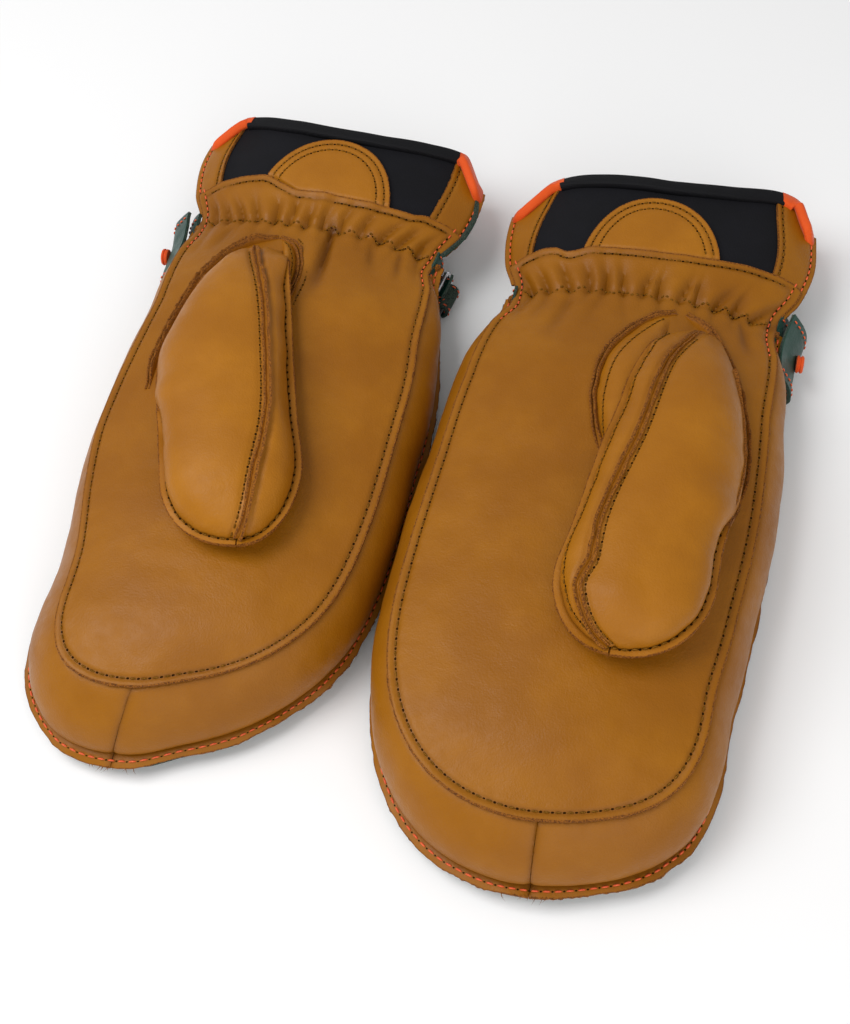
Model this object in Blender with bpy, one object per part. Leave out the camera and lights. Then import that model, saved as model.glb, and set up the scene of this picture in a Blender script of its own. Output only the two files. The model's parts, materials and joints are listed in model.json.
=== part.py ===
"""A pair of leather ski mittens, lying palm up side by side, with the little fingers together.

World frame: metres, +Z up, fingertips at -Y, cuff openings at +Y, the left-hand mitten at +X.
Each mitten is drawn once, as a left hand, in millimetres in its own frame: x towards the thumb
side, y from the fingertip seam (0) to the cuff opening, z up from the floor that its back lies on.
The right hand is the same drawing with x reversed. Every sewn piece is its own solid.
"""

import math

import bmesh
import bpy
from mathutils import Vector

MM = 0.001

# Driving sizes of one mitten, in millimetres.
LENGTH = 287.0  # fingertip seam to the middle of the cuff opening
WRIST_Y = 227.0  # the elastic's middle, where the cuff bends
HAND_END_Y = 221.5  # the hand panels stop here, short of the elastic
CUFF_START_Y = 232.5  # the cuff panels start here, past the elastic
LEATHER = 1.5  # thickness of a leather panel
GAP = 0.4  # clearance between neighbouring pieces
LINER = 5.0  # thickness of the hand's insulation and lining
THIN_LINER = 2.4  # thickness of the thumb's lining and of the cuff's
MOUTH_DIP = 22.0  # how much further back the opening's edge is at the side seams
BINDING_RADIUS = 1.5
RUFFLE_END_Y = 242.5  # the raw edge of the palm's leather, beyond the elastic
STRIP_AT = 0.79  # where the cuff's side strips meet its front panel, as a share of the half width
BACK_EDGE = 0.965  # how far round the cuff's back panel comes

# The pair: distance between the two fingertips, how far the right one is set back, and the angle by
# which each mitten's cuff leans towards the other's.
PAIR_SPACING = 140.0
RIGHT_SET_BACK = 10.0
TOE_IN = math.radians(1.0)

# Half widths of the hand, at the bulge of its side wall: (y, half width).
LITTLE_WIDTHS = ((92, 67.5), (140, 66), (180, 63.5), (206, 56), (222, 50))
THUMB_WIDTHS = ((62, 54), (90, 56.5), (140, 59.5), (180, 58), (206, 53.5), (222, 50.5))
# Half widths of the cuff.
CUFF_LITTLE_WIDTHS = ((228, 50), (243, 55.5), (262, 57.5), (290, 55))
CUFF_THUMB_WIDTHS = ((228, 50.5), (243, 57), (262, 60.5), (290, 58))

# The two long seams: how far inside the bulge they run, and how high, as (y, millimetres).
PALM_SEAM = {
    "tip_y": 16.0,
    "inset": ((60, 6), (180, 6), (222, 2)),
    "height": ((16, 33), (50, 35), (180, 35), (222, 29)),
}
RIM_SEAM = {
    "tip_y": 4.0,
    "inset": ((40, 3), (180, 3), (222, 1)),
    "height": ((4, 8), (150, 8), (190, 14), (222, 24)),
}
TIP_FULLNESS = 2.3  # exponent of the rounded fingertip outline
PALM_CROWN = ((16, 0), (40, 5), (90, 7.5), (180, 7), (222, 7))
BACK_BOTTOM = ((4, 6), (22, 0.6), (36, 0), (172, 0), (198, 6.5), (213, 10), (228, 11.5))
CUFF_SIDE_HEIGHT = 24.5
LINING_SIDE_ROOM = 5.0  # how much further in the cuff's lining stays at the side seams
CUFF_CROWN = ((228, 36), (243, 39), (262, 40), (290, 39))
CUFF_BOTTOM = ((228, 11.5), (243, 7.5), (262, 3.5), (290, 3))

# The thumb, drawn along its own axis from its pointed base (0) to its round tip.
THUMB_LENGTH = 137.0
THUMB_WIDTHS_ALONG = ((6, 6), (24, 12.5), (46, 19), (74, 24.5), (100, 24.5))
THUMB_HEIGHTS_ALONG = ((6, 7), (24, 12), (46, 17), (74, 20), (100, 20))
THUMB_ROUND_FROM = 100.0
THUMB_BASE = Vector((15.0, 204.0, 45.6))  # the base point, on the underside
THUMB_BELLY = 4.0  # height of the thumb's side seams above its underside
SEAM_ROOM = 0.9  # half the space left between two of the thumb's panels
SWING_ABOUT = Vector((15.0, 188.0, 44.0))  # the thumb and its gusset turn about this upright axis
OPENING = {"x": 15.0, "y": 158.0, "half_x": 13.0, "half_y": 20.0}
HOLE_MARGIN = 4.0  # how much wider the palm's hole is than the thumb's own opening

STRAP_Y = (202.0, 225.0)  # the wrist strap runs round the back between these
STRAP_Z = 5.6  # the strap's first run across the back; it returns underneath
TAIL_Z = 2.4
FOLD_AT = Vector((-60.5, 0.0, 5.6))  # the ring's lower bar, which the strap folds round
RING_BAR_AT = Vector((-60.0, 0.0, 14.6))  # the ring's upper bar, in the anchor's fold
WIRE = 1.0  # radius of the ring's wire
STRAP_THICK = 1.4
TAPE_THICK = 0.5  # hook tape and loop tape

# The soft thumbs flop differently: each turns towards the little finger, in degrees, and shifts sideways.
HANDS = {
    "left": {"side": 1, "thumb_turn": 3.5, "thumb_shift": 8.0},
    "right": {"side": -1, "thumb_turn": 14.0, "thumb_shift": -8.0},
}

MATERIALS = {
    "tan_leather": ((0.46, 0.235, 0.055), 0.45, 0.0),
    "green_leather": ((0.012, 0.055, 0.04), 0.42, 0.0),
    "black_softshell": ((0.011, 0.012, 0.02), 0.85, 0.0),
    "black_binding": ((0.006, 0.006, 0.008), 0.7, 0.0),
    "orange_binding": ((0.80, 0.13, 0.025), 0.6, 0.0),
    "insulation": ((0.55, 0.53, 0.48), 0.95, 0.0),
    "fleece": ((0.02, 0.02, 0.024), 0.95, 0.0),
    "elastic": ((0.6, 0.58, 0.52), 0.8, 0.0),
    "hook_tape": ((0.01, 0.01, 0.01), 0.8, 0.0),
    "ring_metal": ((0.72, 0.72, 0.74), 0.28, 1.0),
}


def clear_scene():
    for item in list(bpy.data.objects):
        bpy.data.objects.remove(item)


def make_materials():
    made = {}
    for name, (colour, roughness, metallic) in MATERIALS.items():
        material = bpy.data.materials.new(name)
        material.use_nodes = True
        shader = material.node_tree.nodes["Principled BSDF"]
        shader.inputs["Base Color"].default_value = (*colour, 1.0)
        shader.inputs["Roughness"].default_value = roughness
        shader.inputs["Metallic"].default_value = metallic
        made[name] = material
    return made


def along(knots, at):
    """A smooth curve through (place, value) knots. It never overshoots, and is level past both ends."""
    if at <= knots[0][0]:
        return knots[0][1]
    if at >= knots[-1][0]:
        return knots[-1][1]
    i = max(k for k in range(len(knots) - 1) if knots[k][0] <= at)
    (x0, y0), (x1, y1) = knots[i], knots[i + 1]

    def slope(k):
        if k in (0, len(knots) - 1):
            return 0.0
        before, after = knots[k][1] - knots[k - 1][1], knots[k + 1][1] - knots[k][1]
        if before * after <= 0:
            return 0.0
        return (knots[k + 1][1] - knots[k - 1][1]) / (knots[k + 1][0] - knots[k - 1][0])

    t, width = (at - x0) / (x1 - x0), x1 - x0
    rise = y0 * (2 * t**3 - 3 * t**2 + 1) + y1 * (3 * t**2 - 2 * t**3)
    bend = slope(i) * (t**3 - 2 * t**2 + t) + slope(i + 1) * (t**3 - t**2)
    return rise + bend * width


def fractions(count, low=0.0, high=1.0):
    return [low + (high - low) * k / count for k in range(count + 1)]


class Mitten:
    """One hand: its parent empties, and the functions that turn its drawing into objects."""

    def __init__(self, name, materials):
        self.name = name
        self.side = HANDS[name]["side"]
        self.turn = math.radians(HANDS[name]["thumb_turn"])
        self.shift = HANDS[name]["thumb_shift"]
        self.materials = materials
        x = self.side * PAIR_SPACING / 2
        y = RIGHT_SET_BACK if self.side < 0 else 0.0
        self.root = self.empty("mitten", None, Vector((x, y, 0)) * MM)
        self.root.rotation_euler.z = self.side * TOE_IN

    def empty(self, name, parent, at):
        made = bpy.data.objects.new(f"{self.name}_{name}_frame", None)
        bpy.context.scene.collection.objects.link(made)
        made.parent = parent
        made.location = at
        return made

    def place(self, point):
        """A drawing point, in millimetres, as a point of this hand's frame, in metres."""
        return Vector((point[0] * self.side, point[1], point[2])) * MM

    def turned(self, point):
        """A drawing point that belongs to the thumb, turned and shifted with it."""
        x, y = point[0] - SWING_ABOUT.x, point[1] - SWING_ABOUT.y
        c, s = math.cos(-self.turn), math.sin(-self.turn)
        return Vector((SWING_ABOUT.x + self.shift + x * c - y * s, SWING_ABOUT.y + x * s + y * c, point[2]))

    def add(self, name, data, material):
        made = bpy.data.objects.new(f"{self.name}_{name}", data)
        bpy.context.scene.collection.objects.link(made)
        made.parent = self.root
        data.materials.append(self.materials[material])
        return made

    def panel(self, name, rows, material, thickness=LEATHER, inside=(0, 120, 20), closed=False):
        """A sewn sheet: a grid of drawing points, given its thickness on the side towards `inside`."""
        mesh = bpy.data.meshes.new(f"{self.name}_{name}")
        work = bmesh.new()
        grid = [[work.verts.new(self.place(p)) for p in row] for row in rows]
        for low, high in zip(grid, grid[1:]):
            pairs = list(zip(low, low[1:], high[1:], high))
            if closed:
                pairs.append((low[-1], low[0], high[0], high[-1]))
            for corners in pairs:
                work.faces.new(corners)
        bmesh.ops.remove_doubles(work, verts=work.verts, dist=1e-5)
        bmesh.ops.recalc_face_normals(work, faces=work.faces)
        core = self.place(inside)
        outward = sum(f.normal.dot(f.calc_center_median() - core) * f.calc_area() for f in work.faces)
        if outward < 0:
            bmesh.ops.reverse_faces(work, faces=work.faces)
        work.to_mesh(mesh)
        work.free()
        made = self.add(name, mesh, material)
        solid = made.modifiers.new("thickness", "SOLIDIFY")
        solid.thickness = thickness * MM
        solid.offset = -1.0
        solid.use_even_offset = True
        mesh.shade_smooth()
        return made

    def strip(self, name, route, y_range, material, thickness):
        """A tape of even width along y. `route` gives its (x, z) points at a y."""
        edges = [[(x, y, z) for x, z in route(y)] for y in y_range]
        made = self.panel(name, zip(*edges), material, thickness)
        made.modifiers["thickness"].offset = 0.0
        return made

    def tube(self, name, points, radius, material, cyclic=False):
        """A round cord or wire along drawing points."""
        curve = bpy.data.curves.new(f"{self.name}_{name}", "CURVE")
        curve.dimensions = "3D"
        curve.bevel_depth = radius * MM
        curve.bevel_resolution = 1
        curve.use_fill_caps = not cyclic
        spline = curve.splines.new("POLY")
        spline.points.add(len(points) - 1)
        for point, at in zip(spline.points, points):
            point.co = (*self.place(at), 1.0)
        spline.use_cyclic_u = cyclic
        return self.add(name, curve, material)

    def cutter(self, name, outline, low, high):
        """A hidden upright prism that cuts an opening, from its outline and two heights."""
        mesh = bpy.data.meshes.new(f"{self.name}_{name}")
        work = bmesh.new()
        base = work.faces.new([work.verts.new(self.place((x, y, low))) for x, y in outline])
        raised = bmesh.ops.extrude_face_region(work, geom=[base])
        verts = [v for v in raised["geom"] if isinstance(v, bmesh.types.BMVert)]
        bmesh.ops.translate(work, verts=verts, vec=Vector((0, 0, (high - low) * MM)))
        bmesh.ops.recalc_face_normals(work, faces=work.faces)
        work.to_mesh(mesh)
        work.free()
        made = bpy.data.objects.new(f"{self.name}_{name}", mesh)
        bpy.context.scene.collection.objects.link(made)
        made.parent = self.root
        made.hide_render = True
        made.display_type = "WIRE"
        return made

    def cut(self, target, cutter):
        hole = target.modifiers.new("opening", "BOOLEAN")
        hole.operation = "DIFFERENCE"
        hole.object = cutter


def oval(margin, turned, count=20):
    """The thumb opening's outline, wider by a margin, turned with the thumb."""
    points = []
    for k in range(count):
        angle = 2 * math.pi * k / count
        x = OPENING["x"] + (OPENING["half_x"] + margin) * math.cos(angle)
        y = OPENING["y"] + (OPENING["half_y"] + margin) * math.sin(angle)
        points.append(tuple(turned((x, y, 0)))[:2])
    return points


def seam_point(seam, thumb_side, q):
    """A point of a long seam. q is 0 at the fingertip, 0.5 at the finger's full width and 1 at the wrist."""
    widths = THUMB_WIDTHS if thumb_side else LITTLE_WIDTHS
    full_y, end_y = widths[0][0], HAND_END_Y
    if q < 0.5:
        angle = q * math.pi
        reach = math.sin(angle) ** (2 / TIP_FULLNESS)
        y = seam["tip_y"] + (full_y - seam["tip_y"]) * (1 - math.cos(angle) ** (2 / TIP_FULLNESS))
    else:
        reach = 1.0
        y = full_y + (end_y - full_y) * (q - 0.5) * 2
    x = (along(widths, y) - along(seam["inset"], y)) * reach
    return Vector((x if thumb_side else -x, y, along(seam["height"], y)))


TIP_STEPS = (0.0, 0.05, 0.12, 0.2, 0.3, 0.4, 0.5)
SIDE_STEPS = (0.58, 0.68, 0.78, 0.86, 0.93, 1.0)


def palm_rows(columns=8):
    rows = []
    for q in TIP_STEPS + SIDE_STEPS:
        left, right = (seam_point(PALM_SEAM, side, q) for side in (False, True))
        row = []
        for u in fractions(columns):
            point = left.lerp(right, u)
            point.z += along(PALM_CROWN, point.y) * (1 - abs(2 * u - 1) ** 2.2)
            row.append(point)
        rows.append(row)
    return rows


def back_rows():
    """The back panel: flat in the middle, where the mitten lies on it, and turned up to the rim seam."""
    rows = []
    for q in TIP_STEPS + SIDE_STEPS:
        left, right = (seam_point(RIM_SEAM, side, q) for side in (False, True))
        row = []
        for u in (0.0, 0.03, 0.09, 0.2, 0.5, 0.8, 0.91, 0.97, 1.0):
            point = left.lerp(right, u)
            edge = max(0.0, (abs(2 * u - 1) - 0.6) / 0.4) ** 2.4
            rim = point.z - LEATHER - GAP
            low = min(along(BACK_BOTTOM, point.y), rim - 1.0)
            point.z = low + (rim - low) * edge
            row.append(point)
        rows.append(row)
    return rows


def band_rows(thumb_side):
    """The side wall from the fingertip's butt seam to the wrist, bulging between the palm and rim seams."""
    rows = []
    under = Vector((0, 0, -(LEATHER + GAP)))
    for q in (0.008,) + TIP_STEPS[1:] + SIDE_STEPS:
        top = seam_point(PALM_SEAM, thumb_side, q) + under
        bottom = seam_point(RIM_SEAM, thumb_side, q) + Vector((0, 0, GAP))
        turn = min(q, 0.5) * math.pi
        out = Vector((math.sin(turn) * (1 if thumb_side else -1), -math.cos(turn), 0))
        bulge = 3.5 if q < 0.9 else 1.2
        row = []
        for s in (0.0, 0.25, 0.55, 0.8, 1.0):
            row.append(top.lerp(bottom, s) + out * bulge * 4 * s * (1 - s))
        rows.append(row)
    return rows


def liner_rings(count=18):
    """The insulated lining bag inside the hand, from the wrist to its closed tip."""
    straight = tuple((y, 1.0) for y in (214, 196, 160, 120, 80))
    places = straight + ((54, 0.92), (38, 0.76), (28, 0.52), (23, 0.0))
    rings = []
    for y, share in places:
        little = (along(LITTLE_WIDTHS, y) - 7.5) * share
        thumb = (along(THUMB_WIDTHS, y) - 7.5) * share
        low = along(BACK_BOTTOM, y) + LEATHER + 1.5
        high = along(PALM_SEAM["height"], y) + along(PALM_CROWN, y) * 0.55 - LEATHER - 1.5
        middle = low + (high - low) * 0.45
        ring = []
        for k in range(count):
            angle = 2 * math.pi * k / count
            c, s = math.cos(angle), math.sin(angle)
            x = math.copysign(abs(c) ** 0.78, c) * (thumb if c > 0 else little)
            rise = (high - middle) if s > 0 else (middle - low)
            z = middle + math.copysign(abs(s) ** 0.78, s) * rise * (0.35 + 0.65 * share)
            ring.append((x, y, z))
        rings.append(ring)
    return rings


def cuff_outer(u, y, upper, inset=0.0, side_inset=None):
    """A point of the cuff's skin: u runs from -1 at the little-finger seam to 1 at the thumb seam."""
    widths = CUFF_THUMB_WIDTHS if u > 0 else CUFF_LITTLE_WIDTHS
    x = u * (along(widths, y) - (inset if side_inset is None else side_inset))
    if upper:
        rise = along(CUFF_CROWN, y) - inset - CUFF_SIDE_HEIGHT
        return Vector((x, y, CUFF_SIDE_HEIGHT + rise * (1 - abs(u) ** 2.6)))
    drop = CUFF_SIDE_HEIGHT - along(CUFF_BOTTOM, y) - inset
    return Vector((x, y, CUFF_SIDE_HEIGHT - drop * (1 - abs(u) ** 3.4)))


def mouth_y(u, y_middle=LENGTH):
    """The opening's edge, which dips at the side seams."""
    return y_middle - MOUTH_DIP * abs(u) ** 5


def cuff_rows(u_low, u_high, upper, start, inset, short=0.0, columns=6, rows=3):
    """Part of the cuff's skin between two side positions, from `start` to just short of the opening."""
    grid = []
    for t in fractions(rows):
        row = []
        for u in fractions(columns, u_low, u_high):
            y = start + (mouth_y(u) - short - start) * t
            row.append(cuff_outer(u, y, upper, inset))
        grid.append(row)
    return grid


def cuff_ring_rows(inset, start, short, count=24):
    """The cuff's lining, as rings from the wrist to the opening."""
    rings = []
    for t in fractions(3):
        ring = []
        for k in range(count):
            angle = 2 * math.pi * (k + 0.5) / count
            u = math.cos(angle)
            u = math.copysign(abs(u) ** 0.8, u)
            y = start + (mouth_y(u) - short - start) * t
            ring.append(cuff_outer(u, y, math.sin(angle) > 0, inset, inset + LINING_SIDE_ROOM))
        rings.append(ring)
    return rings


def patch_rows(columns=10, rows=3):
    """The half-round leather patch on the palm side of the cuff."""
    grid = []
    half_width, low, high = 25.0, 244.5, 268.5
    for t in fractions(rows):
        row = []
        for k in range(columns + 1):
            angle = math.pi * (1 - k / columns)
            x = half_width * math.cos(angle)
            top = low + (high - low) * math.sin(angle) ** 0.9
            y = low + (top - low) * t
            widths = CUFF_THUMB_WIDTHS if x > 0 else CUFF_LITTLE_WIDTHS
            row.append(cuff_outer(x / along(widths, y), y, True, -GAP))
        grid.append(row)
    return grid


def binding_point(u, upper):
    """A point of the binding's centre line, clear of the panels' edge however steeply that edge dips."""
    width = along(CUFF_THUMB_WIDTHS, mouth_y(u))
    steepness = MOUTH_DIP * 5 * abs(u) ** 4 / width
    y = mouth_y(u) + (BINDING_RADIUS + 2 * GAP) * math.hypot(1.0, steepness)
    return cuff_outer(u, y, upper, LEATHER + GAP + BINDING_RADIUS / 2)


def thumb_section(d, angle, inset=0.0):
    """A point of the thumb's skin, at a distance from its base and an angle round it (0 on its outer side)."""
    shrink = 1.0
    if d > THUMB_ROUND_FROM:
        shrink = (1 - ((d - THUMB_ROUND_FROM) / (THUMB_LENGTH - THUMB_ROUND_FROM)) ** 2.2) ** (1 / 2.2)
    half = max(0.0, along(THUMB_WIDTHS_ALONG, d) * shrink - inset)
    high = max(0.0, (along(THUMB_HEIGHTS_ALONG, d) - THUMB_BELLY) * shrink - inset)
    low = max(0.0, THUMB_BELLY * (0.3 + 0.7 * shrink) - inset)
    if shrink <= 0.001:
        half, high, low = 0.0, 0.0, 0.0
    c, s = math.cos(angle), math.sin(angle)
    x = math.copysign(abs(c) ** 0.85, c) * half
    z = THUMB_BELLY + (s * high if s > 0 else math.copysign(abs(s) ** 0.5, s) * low)
    return THUMB_BASE + Vector((x, -d, z))


THUMB_STATIONS = (8, 26, 46, 70, 94, 110, 121, 129, 134, 136.4)


def thumb_rows(mitten, low_deg, high_deg, columns):
    """A panel of the thumb between two angles, drawn in at both seams so that its neighbours are clear."""
    rows = []
    for d in THUMB_STATIONS:
        radius = (thumb_section(d, 0.0) - thumb_section(d, math.pi)).length / 2
        room = SEAM_ROOM / max(radius, 2.0)
        low, high = math.radians(low_deg) + room, math.radians(high_deg) - room
        rows.append([mitten.turned(thumb_section(d, angle)) for angle in fractions(columns, low, high)])
    return rows


def make_hand(m):
    cutter = m.cutter("palm_hole_cutter", oval(HOLE_MARGIN, m.turned), 20.0, 60.0)
    palm = m.panel("palm_panel", palm_rows(), "tan_leather")
    m.cut(palm, cutter)
    m.panel("band_thumb_side", band_rows(True), "tan_leather")
    m.panel("band_little_finger_side", band_rows(False), "tan_leather")
    m.panel("back_panel", back_rows(), "green_leather")
    liner = m.panel("hand_liner", liner_rings(), "insulation", LINER, (0, 120, 18), closed=True)
    m.cut(liner, cutter)


def make_thumb(m):
    core = tuple(m.turned(THUMB_BASE + Vector((0, -70, 9))))
    opening = m.cutter("thumb_opening_cutter", oval(0.0, m.turned), 40.0, 56.0)
    m.panel("thumb_front_panel", thumb_rows(m, 2, 124, 6), "tan_leather", 1.2, core)
    m.panel("thumb_side_panel", thumb_rows(m, 124, 178, 3), "tan_leather", 1.2, core)
    under = m.panel("thumb_under_panel", thumb_rows(m, 190, 350, 6), "tan_leather", 1.2, core)
    m.cut(under, opening)
    rings = []
    for d in (20, 40, 70, 98, 112, 122, 127):
        ring = []
        for k in range(14):
            point = thumb_section(d, 2 * math.pi * k / 14, 2.8)
            ring.append(m.turned(point))
        rings.append(ring)
    liner = m.panel("thumb_liner", rings, "insulation", 1.2, core, closed=True)
    m.cut(liner, opening)
    rows = []
    for t in fractions(10):
        y = 196.0 - 66.0 * t
        half = 3.0 + 17.5 * math.sin(math.pi * min(1.0, t + 0.04)) ** 0.6
        across = [OPENING["x"] + half * u for u in fractions(4, -1.0, 1.0)]
        rows.append([m.turned((x, y, SWING_ABOUT.z + 0.7)) for x in across])
    gusset = m.panel("thumb_gusset", rows, "tan_leather", 1.2, (0, 120, 20))
    m.cut(gusset, opening)


def make_elastic(m):
    rings = []
    for y in (HAND_END_Y + 1.2, CUFF_START_Y - 1.2):
        ring = []
        for k in range(20):
            angle = 2 * math.pi * (k + 0.5) / 20
            u = math.copysign(abs(math.cos(angle)) ** 0.8, math.cos(angle))
            ring.append(cuff_outer(u, y, math.sin(angle) > 0, 1.5))
        rings.append(ring)
    m.panel("wrist_elastic", rings, "elastic", 1.2, (0, WRIST_Y, 22), closed=True)


def make_cuff(m):
    core = (0, 262, 22)
    ruffle = []
    for y in (CUFF_START_Y, 237.5, RUFFLE_END_Y):
        ruffle.append([cuff_outer(u, y, True) for u in fractions(12, -1.0, 1.0)])
    m.panel("wrist_ruffle", ruffle, "tan_leather", LEATHER, core)
    skin = LEATHER + GAP
    start = RUFFLE_END_Y + GAP
    front = cuff_rows(-STRIP_AT, STRIP_AT, True, start, skin, columns=8)
    m.panel("cuff_front_panel", front, "black_softshell", LEATHER, core)
    strip_edge = STRIP_AT + 0.012
    for name, low, high in (("thumb_side", strip_edge, 1.0), ("little_finger_side", -1.0, -strip_edge)):
        rows = cuff_rows(low, high, True, start, skin, columns=3)
        m.panel(f"cuff_strip_{name}", rows, "tan_leather", LEATHER, core)
    back = cuff_rows(-BACK_EDGE, BACK_EDGE, False, CUFF_START_Y, skin, columns=12)
    m.panel("cuff_back_panel", back, "green_leather", LEATHER, core)
    m.panel("cuff_patch", patch_rows(), "tan_leather", 1.2, core)
    lining = cuff_ring_rows(2 * (LEATHER + GAP) + GAP, 238.0, 2.5)
    m.panel("cuff_lining", lining, "fleece", THIN_LINER, core, closed=True)
    front_edge = [binding_point(u, True) for u in fractions(12, -STRIP_AT + 0.04, STRIP_AT - 0.04)]
    m.tube("cuff_binding_front", front_edge, BINDING_RADIUS, "black_binding")
    over = [binding_point(u, True) for u in (0.82, 0.9, 0.97)]
    under = [binding_point(u, False) for u in (0.97, 0.88, 0.76, 0.55, 0.28)]
    other_over = [binding_point(-u, True) for u in (0.82, 0.9, 0.97)]
    other_under = [binding_point(-u, False) for u in (0.97, 0.88, 0.76, 0.55, 0.28)]
    back_edge = over + under + [binding_point(0.0, False)] + other_under[::-1] + other_over[::-1]
    m.tube("cuff_binding_back", back_edge, BINDING_RADIUS, "orange_binding")


def fold_round(centre, radius, start_deg, sweep_deg, steps):
    """Points of a turn round a bar, seen along y: from a start angle, through a sweep."""
    points = []
    for k in range(steps + 1):
        angle = math.radians(start_deg + sweep_deg * k / steps)
        points.append((centre.x + radius * math.cos(angle), centre.z + radius * math.sin(angle)))
    return points


def make_strap(m):
    """The wrist strap: sewn in at the thumb seam, across the back, round the ring's bar and back."""
    turn = WIRE + 0.9 + STRAP_THICK / 2

    def base_route(y):
        side = along(THUMB_WIDTHS, y)
        route = [(side + 1.7, 21.0), (side + 2.2, 14.0), (side + 0.4, 8.2), (side - 8.0, STRAP_Z)]
        route += [(0.0, STRAP_Z), (-46.0, STRAP_Z), (-55.0, STRAP_Z + 1.2)]
        return route + fold_round(FOLD_AT, turn, 75, 180, 6)

    def tail_route(y):
        side = along(THUMB_WIDTHS, y)
        route = [(-58.5, TAIL_Z), (-30.0, TAIL_Z), (30.0, TAIL_Z), (side - 4.0, TAIL_Z + 0.4)]
        return route + [(side + 3.4, 6.5), (side + 5.6, 13.0)]

    m.strip("strap_base", base_route, STRAP_Y, "green_leather", STRAP_THICK)
    m.strip("strap_tail", tail_route, STRAP_Y, "green_leather", STRAP_THICK)
    beside = (STRAP_THICK + TAPE_THICK + GAP) / 2
    tape_y = (STRAP_Y[0] + 2, STRAP_Y[1] - 2)
    for name, ends, z in (("loop", (-24, 38), STRAP_Z - beside), ("hook", (4, 36), TAIL_Z + beside)):
        route = [(x, z) for x in ends]
        m.strip(f"strap_{name}_tape", lambda y: route, tape_y, "hook_tape", TAPE_THICK)
    outside = sum(tail_route(y)[-1][0] for y in STRAP_Y) / 2 + STRAP_THICK / 2 + 2 * GAP
    pull = [(outside + 0.4 * k, sum(STRAP_Y) / 2, 12.0) for k in (0, 2, 4, 5)]
    m.tube("strap_pull", pull, 3.4, "orange_binding")

    ring_y = (STRAP_Y[0] - 2.5, STRAP_Y[1] + 2.5)
    corners = [Vector((RING_BAR_AT.x, y, RING_BAR_AT.z)) for y in ring_y]
    corners += [Vector((FOLD_AT.x, y, FOLD_AT.z)) for y in reversed(ring_y)]
    loop = []
    for start, end in zip(corners, corners[1:] + corners[:1]):
        cut_corner = 1.6 / (end - start).length
        loop.append(start.lerp(end, cut_corner))
        loop.append(start.lerp(end, 1 - cut_corner))
    m.tube("strap_ring", loop, WIRE, "ring_metal", cyclic=True)

    def anchor_route(y):
        side = -along(LITTLE_WIDTHS, y)
        return [(side - 1.4, 26.0), (side - 1.7, 21.0)] + fold_round(RING_BAR_AT, turn - 0.3, 40, -230, 7)

    m.strip("strap_anchor", anchor_route, STRAP_Y, "green_leather", 1.0)


def centre_on_floor(roots):
    """Moves both mittens so that their common box stands centred on the origin."""
    bpy.context.view_layer.update()
    graph = bpy.context.evaluated_depsgraph_get()
    low, high = Vector((1e9,) * 3), Vector((-1e9,) * 3)
    for item in bpy.context.scene.objects:
        if item.type == "EMPTY" or item.hide_render:
            continue
        shown = item.evaluated_get(graph)
        mesh = shown.to_mesh()
        for vertex in mesh.vertices:
            at = shown.matrix_world @ vertex.co
            low = Vector(map(min, low, at))
            high = Vector(map(max, high, at))
        shown.to_mesh_clear()
    shift = Vector(((low.x + high.x) / 2, (low.y + high.y) / 2, low.z))
    for root in roots:
        root.location -= shift


def main():
    clear_scene()
    materials = make_materials()
    roots = []
    for name in HANDS:
        mitten = Mitten(name, materials)
        make_hand(mitten)
        make_thumb(mitten)
        make_elastic(mitten)
        make_cuff(mitten)
        make_strap(mitten)
        roots.append(mitten.root)
    centre_on_floor(roots)


main()
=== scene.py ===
"""The looks of a pair of leather ski mittens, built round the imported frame.

As in the part's source, each mitten is drawn once, as a left hand, in millimetres in its own frame:
x towards the thumb side, y from the fingertip seam (0) to the cuff opening, z up from the floor that
its back lies on. Hand.place() turns drawing points into metres in the row's frame, and mirrors the
right hand. A plan point is a point of the drawing seen from above.
"""

import itertools
import json
import math

import bmesh
import bpy
import numpy as np
from mathutils import Matrix, Vector


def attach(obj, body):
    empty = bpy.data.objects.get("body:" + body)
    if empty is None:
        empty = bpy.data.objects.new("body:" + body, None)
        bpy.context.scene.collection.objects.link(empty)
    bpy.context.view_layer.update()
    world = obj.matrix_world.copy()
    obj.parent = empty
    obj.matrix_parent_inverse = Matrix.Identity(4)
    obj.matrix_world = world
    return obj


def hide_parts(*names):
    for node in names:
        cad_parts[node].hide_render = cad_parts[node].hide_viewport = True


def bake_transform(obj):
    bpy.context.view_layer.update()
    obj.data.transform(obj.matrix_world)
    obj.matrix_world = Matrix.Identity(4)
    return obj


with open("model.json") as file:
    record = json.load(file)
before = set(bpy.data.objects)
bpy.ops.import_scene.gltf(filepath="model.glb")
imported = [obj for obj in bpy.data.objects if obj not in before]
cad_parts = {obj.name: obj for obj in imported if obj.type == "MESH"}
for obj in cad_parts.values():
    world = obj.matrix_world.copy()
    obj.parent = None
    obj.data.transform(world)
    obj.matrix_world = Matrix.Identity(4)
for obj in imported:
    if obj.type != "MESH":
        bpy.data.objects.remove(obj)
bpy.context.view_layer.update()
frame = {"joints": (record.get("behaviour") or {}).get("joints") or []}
MM = 0.001
UP = np.array((0.0, 0.0, 1.0))

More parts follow.
